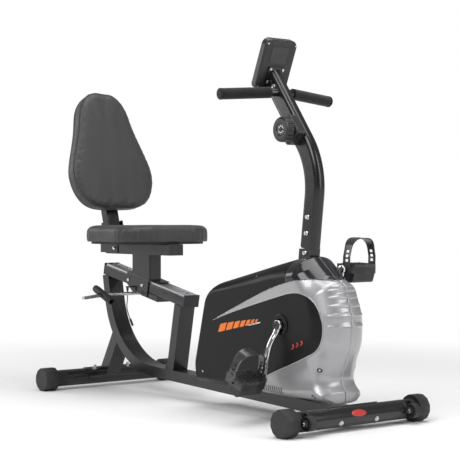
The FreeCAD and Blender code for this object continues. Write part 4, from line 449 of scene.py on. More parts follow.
slot_of = {s["node"]: s["material_slot"] for s in frame["record"]["subparts"]}
for name, o in N.items():
    mt = MT[slot_of[name]]
    if not o.material_slots:
        o.data.materials.append(mt)
    for s in o.material_slots:
        s.link = "OBJECT"
        s.material = mt


# ---------------------------------------------------------------- mesh helpers
def make(name, verts, faces, mat, body, smooth=True, sub=0, bevel=0.0):
    me = bpy.data.meshes.new(name)
    me.from_pydata([tuple(v) for v in verts], [], faces)
    me.validate()
    bm = bmesh.new()
    bm.from_mesh(me)
    bmesh.ops.recalc_face_normals(bm, faces=bm.faces)
    bm.to_mesh(me)
    bm.free()
    if smooth:
        me.polygons.foreach_set("use_smooth", [True] * len(me.polygons))
    ob = bpy.data.objects.new(name, me)
    scene.collection.objects.link(ob)
    me.materials.append(MT[mat])
    if bevel:
        md = ob.modifiers.new("edge", "BEVEL")
        md.width = bevel
        md.segments = 3
        md.limit_method = "ANGLE"
    if sub:
        md = ob.modifiers.new("smooth", "SUBSURF")
        md.levels = sub
        md.render_levels = sub
    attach(ob, body)
    return ob


def frames_along(pts, up):
    out = []
    n = len(pts)
    for k in range(n):
        t = (pts[min(k + 1, n - 1)] - pts[max(k - 1, 0)]).normalized()
        x = up.cross(t)
        if x.length < 1e-6:
            x = Vector((1, 0, 0))
        x.normalize()
        y = t.cross(x).normalized()
        out.append((t, x, y))
    return out


def tube(name, pts, rad, mat, body, seg=16, up=Vector((0, 0, 1)), cap=True, closed=False):
    """Round tube through pts; rad is a number or one per point."""
    n = len(pts)
    rs = rad if hasattr(rad, "__len__") else [rad] * n
    vs, fs = [], []
    if closed:
        fr = []
        for k in range(n):
            t = (pts[(k + 1) % n] - pts[k - 1]).normalized()
            x = up.cross(t).normalized()
            fr.append((t, x, t.cross(x).normalized()))
    else:
        fr = frames_along(pts, up)
    for k in range(n):
        t, x, y = fr[k]
        for j in range(seg):
            c = 2 * math.pi * j / seg
            vs.append(pts[k] + (x * math.cos(c) + y * math.sin(c)) * rs[k])
    for k in range(n if closed else n - 1):
        for j in range(seg):
            k2 = (k + 1) % n
            fs.append((k * seg + j, k * seg + (j + 1) % seg, k2 * seg + (j + 1) % seg, k2 * seg + j))
    if cap and not closed:
        fs.append(tuple(range(seg - 1, -1, -1)))
        fs.append(tuple(range((n - 1) * seg, n * seg)))
    return make(name, vs, fs, mat, body)


def lathe(name, prof, pos, axis, mat, body, seg=40, sub=0):
    """prof is (radius, along) in mm, from one end of the axis to the other."""
    d = Vector(axis).normalized()
    x = d.orthogonal().normalized()
    y = d.cross(x)
    vs, fs, rings = [], [], []
    for (rr, z) in prof:
        if rr < 1e-6:
            rings.append([len(vs)])
            vs.append(pos + d * (z / 1000))
        else:
            rings.append(list(range(len(vs), len(vs) + seg)))
            for j in range(seg):
                c = 2 * math.pi * j / seg
                vs.append(pos + d * (z / 1000) + (x * math.cos(c) + y * math.sin(c)) * (rr / 1000))
    for k in range(len(rings) - 1):
        A, B = rings[k], rings[k + 1]
        for j in range(seg):
            j2 = (j + 1) % seg
            if len(A) == 1 and len(B) == 1:
                continue
            if len(A) == 1:
                fs.append((A[0], B[j], B[j2]))
            elif len(B) == 1:
                fs.append((A[j], A[j2], B[0]))
            else:
                fs.append((A[j], A[j2], B[j2], B[j]))
    return make(name, vs, fs, mat, body, sub=sub)


def bvh_of(*names):
    vs, fs = [], []
    for nm in names:
        o = N[nm] if isinstance(nm, str) else nm
        base = len(vs)
        vs += [o.matrix_world @ v.co for v in o.data.vertices]
        fs += [tuple(base + i for i in p.vertices) for p in o.data.polygons]
    return BVHTree.FromPolygons(vs, fs)


HOUSE = bvh_of("shroud_right", "shroud_left", "nose_right", "nose_left", "post_collar")


def on_house(x, z, side, lift=0.0):
    """Point of the housing's side at station x, height z (mm), raised by lift (m) along its normal."""
    o = F(x, side * 300, z)
    hit = HOUSE.ray_cast(o, Vector((0, -side, 0)))
    if hit[0] is None:
        return None, None
    nrm = hit[1]
    if nrm.y * side < 0:
        nrm = -nrm
    return hit[0] + nrm * lift, nrm


def smooth_line(pts, n):
    """Catmull-Rom through 2-D points, n samples."""
    out = []
    m_ = len(pts) - 1
    for k in range(n):
        t = m_ * k / (n - 1)
        i = min(int(t), m_ - 1)
        f = t - i
        p0 = pts[max(i - 1, 0)]
        p1, p2 = pts[i], pts[i + 1]
        p3 = pts[min(i + 2, m_)]
        v = []
        for c in range(len(p1)):
            v.append(0.5 * (2 * p1[c] + (p2[c] - p0[c]) * f + (2 * p0[c] - 5 * p1[c] + 4 * p2[c] - p3[c]) * f * f + (3 * p1[c] - p0[c] - 3 * p2[c] + p3[c]) * f ** 3))
        out.append(v)
    return out


# ---------------------------------------------------------------- housing shells
import numpy as np


def outline_pts(poly):
    """Closed outline with rounded corners, denser round the nose (mm, x and z)."""
    line = []
    n_ = len(poly)
    for k in range(n_):
        p0, p1, p2 = (Vector(poly[(k + o) % n_][:2]) for o in (-1, 0, 1))
        d1, d2 = (p0 - p1).normalized(), (p2 - p1).normalized()
        half = math.acos(max(-1, min(1, d1.dot(d2)))) / 2
        t = min(poly[k][2] / math.tan(half), 0.47 * (p0 - p1).length, 0.47 * (p2 - p1).length)
        r_ = t * math.tan(half)
        cen = p1 + (d1 + d2).normalized() * (r_ / math.sin(half))
        s0, s1 = p1 + d1 * t - cen, p1 + d2 * t - cen
        tot = s0.angle_signed(s1)
        for i in range(13):
            th = -tot * i / 12
            line.append(cen + Vector((s0.x * math.cos(th) - s0.y * math.sin(th), s0.x * math.sin(th) + s0.y * math.cos(th))))
    out = []
    for k in range(len(line)):
        a0, b0 = line[k], line[(k + 1) % len(line)]
        step = 1.7 if max(a0.x, b0.x) > -110 and max(a0.y, b0.y) > 120 else 5.0
        m_ = max(1, int(math.ceil((b0 - a0).length / step)))
        for i in range(m_):
            out.append(a0.lerp(b0, i / m_))
    return out


OUTLINE = outline_pts([(-652, 76, 24), (-664, 140, 90), (-598, 397, 80), (-205, 488, 30), (-150, 494, 14), (-84, 437, 40), (-42, 417, 44), (-8, 330, 90), (-8, 238, 110), (-55, 132, 30), (-30, 104, 9), (-30, 70, 2), (-320, 70, 2), (-330, 76, 2)])
OA = np.array([(p.x, p.y) for p in OUTLINE])
OB = np.roll(OA, -1, axis=0)


def sst(a_, b_, x):
    t = np.clip((x - a_) / (b_ - a_), 0, 1)
    return t * t * (3 - 2 * t)


def dist_to(A, B, P):
    out = np.empty(len(P))
    D_ = B - A
    LL = (D_ ** 2).sum(1) + 1e-12
    for c in range(0, len(P), 4000):
        Q = P[c:c + 4000]
        W = Q[:, None, :] - A[None]
        t = np.clip((W * D_[None]).sum(2) / LL[None], 0, 1)
        out[c:c + 4000] = np.sqrt(((W - t[..., None] * D_[None]) ** 2).sum(2)).min(1)
    return out


def depth(P, d):
    x, z = P[:, 0], P[:, 1]
    R = 27 + 26 * sst(330, 430, z) * (1 - sst(-200, -70, x)) + 61 * sst(-200, -70, x) * sst(140, 210, z) + 16 * sst(-200, -70, x) * (1 - sst(140, 210, z))
    R = np.maximum(R, 53 + 22 * sst(-300, -190, x) * sst(410, 470, z)*1.0 - 26 * (1 - sst(330, 430, z)))
    q_ = 1 - np.minimum(1.0, d / R)
    y = 90 * (1 - q_ ** 2.2) ** (1 / 2.2)
    # the waist above the foot is drawn in
    return y * (1 - 0.13 * sst(-190, -60, x) * np.exp(-((z - 140) / 38.0) ** 2))


def depth1(x, z):
    P = np.array([(x, z)])
    return float(depth(P, dist_to(OA, OB, P))[0])


def shift_in(pts):
    """Keeps a line where the eye sees it, on the rounded nose."""
    out = []
    for x, z in pts:
        if x > -190:
            lo_, hi_ = x - 80.0, x
            for _ in range(22):
                mid = (lo_ + hi_) / 2
                g_ = 0.618 * (mid - x) + 0.786 * (90 - depth1(mid, z))
                if g_ > 0:
                    hi_ = mid
                else:
                    lo_ = mid
            x = (lo_ + hi_) / 2
        out.append((x, z))
    return out


UP = shift_in([(-548, 285), (-480, 314), (-411, 342), (-315, 379), (-244, 403), (-176, 420), (-128, 426), (-84, 428)]) + [(-40, 425)]
LO = shift_in([(-312, 122), (-267, 139), (-199, 165), (-131, 191), (-79, 212), (-50, 230), (-34, 254), (-28, 284), (-33, 314), (-50, 346), (-77, 370), (-110, 384), (-145, 389), (-180, 386), (-221, 377), (-315, 353), (-411, 327), (-480, 307), (-548, 285)])
CLAW = LO[::-1]
upl = smooth_line(UP, 200)
lol = smooth_line(LO, 400)
SIL = np.array([tuple(p) for p in upl] + [(60, 425), (60, 40), (-312, 40)] + [tuple(p) for p in lol])
SB = np.roll(SIL, -1, axis=0)


def inside(P, A, B):
    r_ = np.zeros(len(P), dtype=bool)
    for (ax_, az_), (bx_, bz_) in zip(A, B):
        c = (az_ > P[:, 1]) != (bz_ > P[:, 1])
        if abs(bz_ - az_) > 1e-12:
            r_ ^= c & (P[:, 0] < (bx_ - ax_) * (P[:, 1] - az_) / (bz_ - az_) + ax_)
    return r_


def nearest(A, B, P):
    D_ = B - A
    LL = (D_ ** 2).sum(1) + 1e-12
    out = np.empty_like(P)
    for c in range(0, len(P), 4000):
        Q = P[c:c + 4000]
        W = Q[:, None, :] - A[None]
        t = np.clip((W * D_[None]).sum(2) / LL[None], 0, 1)
        C_ = A[None] + t[..., None] * D_[None]
        k_ = ((Q[:, None, :] - C_) ** 2).sum(2).argmin(1)
        out[c:c + 4000] = C_[np.arange(len(Q)), k_]
    return out


NA, NR = len(OA), 120
CEN = np.array((-330.0, 262.0))
tt = np.arange(1, NR + 1) / NR
ss = 1 - (1 - tt) ** 1.8
G = (CEN[None, None] + ss[:, None, None] * (OA[None] - CEN[None, None])).reshape(-1, 2)
G = np.vstack([CEN[None], G])
rim = np.zeros(len(G), dtype=bool)
rim[1 + (NR - 1) * NA:] = True
near = nearest(SIL, SB, G)
gap = np.sqrt(((near - G) ** 2).sum(1))
snap = (gap < 1.9) & ~rim
G[snap] = near[snap]
DD = dist_to(OA, OB, G)
DD[rim] = 0
YY = depth(G, DD)
YY[rim] = 0
quads = []
for i in range(NR - 1):
    a0, b0 = 1 + i * NA, 1 + (i + 1) * NA
    for j in range(NA):
        j2 = (j + 1) % NA
        quads.append((a0 + j, a0 + j2, b0 + j2, b0 + j))
for j in range(NA):
    quads.append((0, 1 + (j + 1) % NA, 1 + j))
FC = np.array([G[list(q_)].mean(0) for q_ in quads])
is_sil = inside(FC, SIL, SB)
hub_d = np.sqrt(((FC - np.array((-218.0, 290.0))) ** 2).sum(1))
is_col = (~is_sil) & (FC[:, 0] > -196) & (FC[:, 1] > 396)
kind = np.where(is_sil, 1, np.where(is_col, 2, 0))
kind[hub_d < 24] = -1
LZ6 = [(412, 0.98), (401, 0.98), (381, 0.96), (357, 0.96), (330, 0.98), (299, 1.0)]


def louvre(x, y, z):
    """Height (mm) of the six hoods round the nose."""
    if x < -110 or z < 280:
        return 0.0
    th = math.atan2(abs(y), x + 96.0) / math.radians(50)
    h = 0.0
    for zk, wk in LZ6:
        q_ = th / wk
        if q_ >= 1:
            continue
        hz = 8.0 * (1 - q_ * q_) ** 0.7
        # the hoods arch a little up at the middle
        t = ((z - zk + 3.0 * q_ * q_) / max(hz, 0.3) + 1) / 2
        if 0 < t < 1:
            h = max(h, 6.0 * (1 - q_ * q_) ** 0.38 * min(1.0, t / 0.16) * (1 - t) ** 0.8)
    return h


shell_parts = {}
for nm, side in (("right", -1), ("left", 1)):
    me0 = bpy.data.meshes.new("house_tmp")
    W0 = [F(G[k][0], side * YY[k], G[k][1]) for k in range(len(G))]
    fq = quads if side < 0 else [tuple(reversed(q_)) for q_ in quads]
    me0.from_pydata([tuple(v) for v in W0], [], fq)
    me0.update()
    nrm = [v.normal.copy() for v in me0.vertices]
    if nrm[0].y * side < 0:
        fq = [tuple(reversed(q_)) for q_ in fq]
        nrm = [-v for v in nrm]
    for k in range(len(G)):
        x, z = G[k]
        if x > -110 and z > 280:
            h = louvre(x, YY[k], z)
            if h > 0:
                n_ = nrm[k]
                if rim[k]:
                    n_ = Vector((n_.x, 0, n_.z)).normalized()
                W0[k] = W0[k] + n_ * (h / 1000)
    bpy.data.meshes.remove(me0)
    for kd, obn, node_, mat in ((0, "housing_black_", "shroud_", "shroud_black"), (1, "housing_silver_", "nose_", "nose_silver"), (2, "housing_collar_", "", "collar_gloss")):
        ids, fs_ = {}, []
        for f_, kk in zip(fq, kind):
            if kk != kd:
                continue
            fs_.append(tuple(ids.setdefault(v, len(ids)) for v in f_))
        vs_ = [None] * len(ids)
        for v, i in ids.items():
            vs_[i] = W0[v]
        shell_parts[(kd, nm)] = (vs_, fs_, obn + nm, node_ + nm, mat)


def shell_object(vs_, fs_, name, node_, mat):
    me = bpy.data.meshes.new(name)
    me.from_pydata([tuple(v) for v in vs_], [], fs_)
    me.validate()
    me.polygons.foreach_set("use_smooth", [True] * len(me.polygons))
    ob = bpy.data.objects.new(name, me)
    scene.collection.objects.link(ob)
    me.materials.append(MT[mat])
    so = ob.modifiers.new("wall", "SOLIDIFY")
    so.thickness = 0.0022
    so.offset = -1
    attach(ob, "frame")
    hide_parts(node_)
    return ob


shell_obs = []
for nm in ("right", "left"):
    for kd in (0, 1):
        vs_, fs_, obn, node_, mat = shell_parts[(kd, nm)]
        shell_obs.append(shell_object(vs_, fs_, obn, node_, mat))
va, fa = shell_parts[(2, "right")][:2]
vb, fb = shell_parts[(2, "left")][:2]
shell_obs.append(shell_object(va + vb, fa + [tuple(len(va) + i for i in f_) for f_ in fb], "housing_collar", "post_collar", "collar_gloss"))
HOUSE = bvh_of(*shell_obs)



# vent slits low on both sides, drawn as flat near-black patches of painted shade lying on the surface instead of
# openings, and the sunk screws that join the shells, each a zinc head on a near-black ring of painted shade for its
# recess
def on_patch(name, poly, side, mat, lift=0.0004):
    vs_ = []
    for x, z in poly:
        p_, n_ = on_house(x, z, side, lift)
        if p_ is None:
            return None
        vs_.append(p_)
    mx_ = sum(q_[0] for q_ in poly) / len(poly)
    mz_ = sum(q_[1] for q_ in poly) / len(poly)
    c = on_house(mx_, mz_, side, lift)[0]
    fs_ = [(k, (k + 1) % len(vs_), len(vs_)) for k in range(len(vs_))]
    return make(name, vs_ + [c], fs_, mat, "frame", smooth=False)


for nm, side in (("right", -1), ("left", 1)):
    for k in range(10):
        x0, z0 = -303 + 10.0 * k, 86 - 0.3 * k
        sv = []
        for i in range(9):
            for dx in (0.0, 3.4):
                sv.append(on_house(x0 + dx - 3.0 * i / 8, z0 + 3 + 2.4 * i, side, 0.0006)[0])
        if all(q_ is not None for q_ in sv):
            # each slit is a flat near-black patch: painted shade, not a cut opening
            make("vent_slit_shade_%s_%d" % (nm, k), sv, [(2 * i, 2 * i + 1, 2 * i + 3, 2 * i + 2) for i in range(8)], "seam_dark", "frame", smooth=False)
    for k, (x, z, sl) in enumerate(((-340, 430, "shroud_black"), (-84, 90, "nose_silver"), (-66, 168, "nose_silver"), (-599, 119, "shroud_black"))):
        # the wider near-black disc under each head is painted shade for the screw's recess
        for r_, mat, lf in ((6.4, "seam_dark", 0.0004), (3.4, "zinc_steel", 0.0007)):
            on_patch("shell_screw_%s_%d_%s" % (nm, k, "rim" if r_ > 5 else "head"), [(x + r_ * math.cos(a_ * math.pi / 10), z + r_ * math.sin(a_ * math.pi / 10)) for a_ in range(20)], side, mat, lf)

# rubber bumper dome on the beam
bb_lo, bb_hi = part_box("main_frame")
BEAM = bvh_of("main_frame")
hit = BEAM.ray_cast(F(-905, 0, 230), Vector((0, 0, -1)))
if hit[0] is not None and hit[0].z < 0.2:
    lathe("beam_bumper", [(0, -1.0), (14.0, -1.0), (14.4, 2.0), (14.2, 7.0), (12.4, 13.0), (8.6, 17.6), (4.0, 19.4), (0, 19.8)], hit[0], (0, 0, 1), "black_rubber", "frame", seg=40)


# ---------------------------------------------------------------- hanging sensor lead
LEAD = [(-1086, -52, 351), (-1085, -52, 326), (-1092, -52, 300), (-1084, -52, 276), (-1068, -53, 256)]
cu = bpy.data.curves.new("sensor_lead", "CURVE")
cu.dimensions = "3D"
sp = cu.splines.new("NURBS")
sp.points.add(len(LEAD) - 1)
for k, p in enumerate(LEAD):
    q = F(*p)
    sp.points[k].co = (q.x, q.y, q.z, 1.0)
sp.order_u = 3
sp.use_endpoint_u = True
sp.resolution_u = 12
cu.bevel_depth = 0.00175
cu.bevel_resolution = 6
cu.use_fill_caps = True
cu.materials.append(MT["cable_black"])
lead = bpy.data.objects.new("sensor_lead", cu)
scene.collection.objects.link(lead)
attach(lead, "seat")
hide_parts("hanging_lead")


# ---------------------------------------------------------------- padded pieces
def padded_from(name, node, shrink, voxel, cap, shape, body):
    src = N[node]
    me = src.data.copy()
    ob = bpy.data.objects.new(name, me)
    scene.collection.objects.link(ob)
    lo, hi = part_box(node)
    c = (lo + hi) / 2
    for v in me.vertices:
        v.co = c + (v.co - c) * shrink
    rm = ob.modifiers.new("remesh", "REMESH")
    rm.mode = "VOXEL"
    rm.voxel_size = voxel
    dg = bpy.context.evaluated_depsgraph_get()
    new = bpy.data.meshes.new_from_object(ob.evaluated_get(dg))
    ob.modifiers.clear()
    ob.data = new
    rest = [v.co.copy() for v in new.vertices]
    cl = ob.modifiers.new("cloth", "CLOTH")
    s = cl.settings
    s.quality = 4
    s.mass = 0.25
    s.tension_stiffness = 18
    s.compression_stiffness = 18
    s.shear_stiffness = 6
    s.bending_stiffness = 1.2
    s.use_pressure = True
    s.uniform_pressure_force = 4.0
    s.effector_weights.gravity = 0.0
    cl.collision_settings.use_collision = False
    cl.point_cache.frame_start = 1
    cl.point_cache.frame_end = 20
    for f in range(1, 21):
        scene.frame_set(f)
    dg = bpy.context.evaluated_depsgraph_get()
    ev = ob.evaluated_get(dg).data
    pos = [v.co.copy() for v in ev.vertices]
    ob.modifiers.clear()
    scene.frame_set(1)
    for v, a0, b0 in zip(new.vertices, rest, pos):
        d = b0 - a0
        if d.length > cap:
            d *= cap / d.length
        v.co = a0 + d
    new.calc_loop_triangles()
    nrm = [v.normal.copy() for v in new.vertices]
    for v, n_ in zip(new.vertices, nrm):
        v.co = shape(v.co.copy(), n_)
    bm = bmesh.new()
    bm.from_mesh(new)
    bmesh.ops.recalc_face_normals(bm, faces=bm.faces)
    bm.to_mesh(new)
    bm.free()
    new.polygons.foreach_set("use_smooth", [True] * len(new.polygons))
    new.materials.clear()
    new.materials.append(MT["seat_leatherette"])
    sb = ob.modifiers.new("smooth", "SUBSURF")
    sb.levels = 1
    sb.render_levels = 1
    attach(ob, body)
    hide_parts(node)
    return ob


def sstep(a_, b_, x):
    t = max(0.0, min(1.0, (x - a_) / (b_ - a_)))
    return t * t * (3 - 2 * t)


slo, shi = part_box("seat_pad")
SC = (slo + shi) / 2
SHX, SHY, SHZ = (shi.x - slo.x) / 2, (shi.y - slo.y) / 2, (shi.z - slo.z) / 2


def seat_shape(p, n):
    u_, v_ = (p.x - SC.x) / SHX, (p.y - SC.y) / SHY
    # crowned top, softly sunk where the rider sits
    top = sstep(0.25, 0.75, n.z)
    rr = min(1.0, math.sqrt((abs(u_) ** 3 + abs(v_) ** 3)))
    p.z += top * (0.0032 * (1 - rr ** 2) - 0.0028 * math.exp(-((u_ + 0.15) ** 2 + v_ ** 2) / 0.22))
    # pulled-in side band between its corners
    side = 1 - abs(n.z)
    hz = (p.z - SC.z) / SHZ
    ang = math.atan2(v_, u_)
    corner = abs(math.sin(2 * ang))
    p -= Vector((n.x, n.y, 0)) * side * 0.0016 * (1 - corner ** 3)
    # gathers of the cover round the corners, and its puckered lower edge
    s_ = ang * 0.19
    amp = 0.0011 * side * sstep(0.55, 1.0, corner) + 0.0004 * side
    p += n * amp * math.sin(s_ * 330 + 2.2 * mnoise.noise(Vector((ang * 3, hz * 1.2, 4.0)))) * (0.5 + 0.5 * mnoise.noise(Vector((ang * 5, hz * 2, 9.0))) + 0.4)
    low = sstep(-0.45, -0.95, hz) if False else max(0.0, min(1.0, (-0.45 - hz) / 0.5))
    p += Vector((n.x, n.y, 0)) * low * 0.0010 * math.sin(ang * 64 + 3 * mnoise.noise(Vector((ang * 6, 0, 1.5))))
    p.z += low * side * 0.0012 * math.sin(ang * 58 + 1.0)
    # broad soft waves in the cover
    p += n * 0.0007 * mnoise.noise(Vector((p.x * 26, p.y * 14, p.z * 20)))
    p.z = max(p.z, slo.z + 0.0002)
    if n.z < -0.5:
        p.z = slo.z + 0.0003
    return p


seat = padded_from("seat_cushion", "seat_pad", 0.982, 0.0056, 0.006, seat_shape, "seat")

# backrest: working frame with b_u up the back, b_n towards the rider
REC = math.radians(16.4)
b_up = Vector((-math.sin(REC), 0, math.cos(REC)))
b_n = Vector((math.cos(REC), 0, math.sin(REC)))
blo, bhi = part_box("back_pad")
BVS = [v.co.copy() for v in N["back_pad"].data.vertices]
f0 = min(v.dot(b_n) for v in BVS)
f1 = max(v.dot(b_n) for v in BVS)
u0 = min(v.dot(b_up) for v in BVS)
u1 = max(v.dot(b_up) for v in BVS)
BCU, BCF = (u0 + u1) / 2, (f0 + f1) / 2
WELT = f1 - 0.0105        # height of the welt seam on the side band


def back_shape(p, n):
    f_, u_, y_ = p.dot(b_n), p.dot(b_up), p.y
    nf = n.dot(b_n)
    face = sstep(0.3, 0.8, nf)
    ru = (u_ - BCU) / ((u1 - u0) / 2)
    ry = y_ / 0.165
    rr = min(1.0, ru ** 2 + ry ** 2)
    p += b_n * face * (0.0030 * (1 - rr) - 0.0010)
    side = 1 - abs(nf)
    # seam groove beside the welt
    g = math.exp(-((f_ - WELT) / 0.0026) ** 2)
    p -= n * 0.0016 * g * side
    g2 = math.exp(-((f_ - (f0 + 0.009)) / 0.003) ** 2)
    p -= n * 0.0009 * g2 * side
    ang = math.atan2(u_ - BCU, y_)
    p += n * side * 0.0005 * math.sin(ang * 46 + 3 * mnoise.noise(Vector((ang * 3, f_ * 60, 2.0))))
    # drawn creases running in from the welt, and broad soft waves
    edge = sstep(0.35, 0.95, math.sqrt(rr))
    cr = mnoise.noise(Vector((ang * 5.5, math.sqrt(rr) * 1.4, 7.0)))
    p += b_n * face * edge * 0.0014 * cr
    p += b_n * face * 0.0009 * mnoise.noise(Vector((y_ * 18, u_ * 7, 3.0)))
    if nf < -0.5:
        p += b_n * ((f0 + 0.0003) - p.dot(b_n))
    return p


back = padded_from("backrest_cushion", "back_pad", 0.986, 0.0056, 0.005, back_shape, "seat")


def outline_ring(ob, level, count, lift):
    """Closed line round a pad at one height through its thickness, found on its own surface."""
    dg = bpy.context.evaluated_depsgraph_get()
    ev = ob.evaluated_get(dg)
    me = bpy.data.meshes.new_from_object(ev)
    bv = BVHTree.FromPolygons([ob.matrix_world @ v.co for v in me.vertices], [tuple(p.vertices) for p in me.polygons])
    bpy.data.meshes.remove(me)
    c0 = b_n * level + b_up * BCU
    raw = []
    for k in range(360):
        t = 2 * math.pi * k / 360
        d = Vector((0, math.cos(t), 0)) + b_up * math.sin(t)
        hit = bv.ray_cast(c0 + d * 0.6, -d)
        if hit[0] is not None:
            raw.append(hit[0] + d * lift)
    # even spacing
    L = [0.0]
    for k in range(len(raw)):
        L.append(L[-1] + (raw[(k + 1) % len(raw)] - raw[k]).length)
    out = []
    j = 0
    for k in range(count):
        s_ = L[-1] * k / count
        while L[j + 1] < s_:
            j += 1
        f = (s_ - L[j]) / max(1e-9, L[j + 1] - L[j])
        out.append(raw[j].lerp(raw[(j + 1) % len(raw)], f))
    return out


ringp = outline_ring(back, WELT, 420, 0.0004)
w1 = tube("backrest_welt", ringp, [0.00205 + 0.00012 * math.sin(k * 0.9) for k in range(len(ringp))], "piping", "seat", seg=10, up=b_n, closed=True)
ringp = outline_ring(back, f0 + 0.009, 420, -0.0004)
tube("backrest_rear_seam", ringp, 0.0008, "seam_dark", "seat", seg=8, up=b_n, closed=True)


# ---------------------------------------------------------------- chrome crank arms
CX, CZ = -218.0, 290.0
CL = 165.0
dr = Vector((-36, 0, -160)).normalized()
for nm, side, d in (("right", -1, dr), ("left", 1, -dr)):
    ax_x = d
    ax_y = Vector((0, side, 0))
    ax_z = ax_x.cross(ax_y)

    def loc(x, y, z):
        return F(CX, 0, CZ) + (ax_x * x + ax_y * y + ax_z * z) / 1000

    path = smooth_line([(-4.0, 96.5), (10.0, 98.5), (26.0, 103.6), (44.0, 113.5), (64.0, 120.6), (90.0, 124.2), (124.0, 125.9), (150.0, 126.4), (166.0, 126.6)], 60)
    vs, fs = [], []
    seg = 28
    for k, (px, py) in enumerate(path):
        t = k / 59.0
        q0 = path[max(k - 1, 0)]
        q1 = path[min(k + 1, 59)]
        tx, ty = q1[0] - q0[0], q1[1] - q0[1]
        ll = math.hypot(tx, ty)
        tx, ty = tx / ll, ty / ll
        nx, ny = -ty, tx
        wz = 11.6 - 2.2 * sstep(0.05, 0.45, t) + 1.9 * sstep(0.7, 1.0, t)
        wy = 7.6 - 1.3 * sstep(0.1, 0.5, t) + 0.5 * sstep(0.8, 1.0, t)
        for j in range(seg):
            c = 2 * math.pi * j / seg
            ex = 2.0 / 2.5
            cc = math.copysign(abs(math.cos(c)) ** ex, math.cos(c))
            ss = math.copysign(abs(math.sin(c)) ** ex, math.sin(c))
            oy, oz = wy * cc, wz * ss
            vs.append(loc(px + nx * oy, py + ny * oy, oz))
    for k in range(59):
        for j in range(seg):
            fs.append((k * seg + j, k * seg + (j + 1) % seg, (k + 1) * seg + (j + 1) % seg, (k + 1) * seg + j))
    fs.append(tuple(range(seg - 1, -1, -1)))
    fs.append(tuple(range(59 * seg, 60 * seg)))
    arm = make("crank_arm_chrome_" + nm, vs, fs, "crank_chrome", "crank")
    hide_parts("crank_arm_" + nm)
    lathe("crank_hub_" + nm, [(0, 84.2), (14.8, 84.2), (16.2, 85.6), (16.4, 90), (16.4, 101), (15.6, 104.2), (13.6, 105.4), (13.2, 105.0), (13.2, 105.0), (0, 105.0)], loc(0, 0, 0), ax_y, "crank_chrome", "crank", seg=48)
    lathe("crank_dust_cap_" + nm, [(0, 104.6), (12.9, 104.6), (12.9, 106.4), (11.6, 108.2), (8.5, 109.1), (3.2, 109.3), (3.0, 108.5), (0, 108.4)], loc(0, 0, 0), ax_y, "pedal_plastic", "crank", seg=40)
    lathe("crank_eye_" + nm, [(6.8, 119.2), (11.8, 119.2), (13.4, 120.4), (13.9, 123), (13.9, 130.5), (13.0, 132.8), (11.2, 133.8), (6.8, 133.8), (6.8, 119.2)], loc(CL, 0, 0), ax_y, "crank_chrome", "crank", seg=44)


# ---------------------------------------------------------------- pedal straps
def round_poly(pts, step):
    """2-D line with rounded corners, sampled at about step (mm)."""
    line = []
    for k, p in enumerate(pts):
        if len(p) == 2 or k in (0, len(pts) - 1):
            line.append(Vector((p[0], p[1])))
            continue
        a0, b0, c0 = Vector(pts[k - 1][:2]), Vector(p[:2]), Vector(pts[k + 1][:2])
        d1, d2 = (a0 - b0).normalized(), (c0 - b0).normalized()
        half = math.acos(max(-1, min(1, d1.dot(d2)))) / 2
        t = min(p[2] / math.tan(half), 0.48 * (a0 - b0).length, 0.48 * (c0 - b0).length)
        r_ = t * math.tan(half)
        cen = b0 + (d1 + d2).normalized() * (r_ / math.sin(half))
        s0, s1 = b0 + d1 * t - cen, b0 + d2 * t - cen
        tot = s0.angle_signed(s1)
        for i in range(13):
            th = -tot * i / 12
            line.append(cen + Vector((s0.x * math.cos(th) - s0.y * math.sin(th), s0.x * math.sin(th) + s0.y * math.cos(th))))
    L = [0.0]
    for k in range(1, len(line)):
        L.append(L[-1] + (line[k] - line[k - 1]).length)
    n_ = int(round(L[-1] / step))
    out, j = [], 0
    for k in range(n_ + 1):
        s_ = L[-1] * k / n_
        while j < len(L) - 2 and L[j + 1] < s_:
            j += 1
        f = (s_ - L[j]) / max(1e-9, L[j + 1] - L[j])
        out.append(line[j].lerp(line[j + 1], f))
    return out


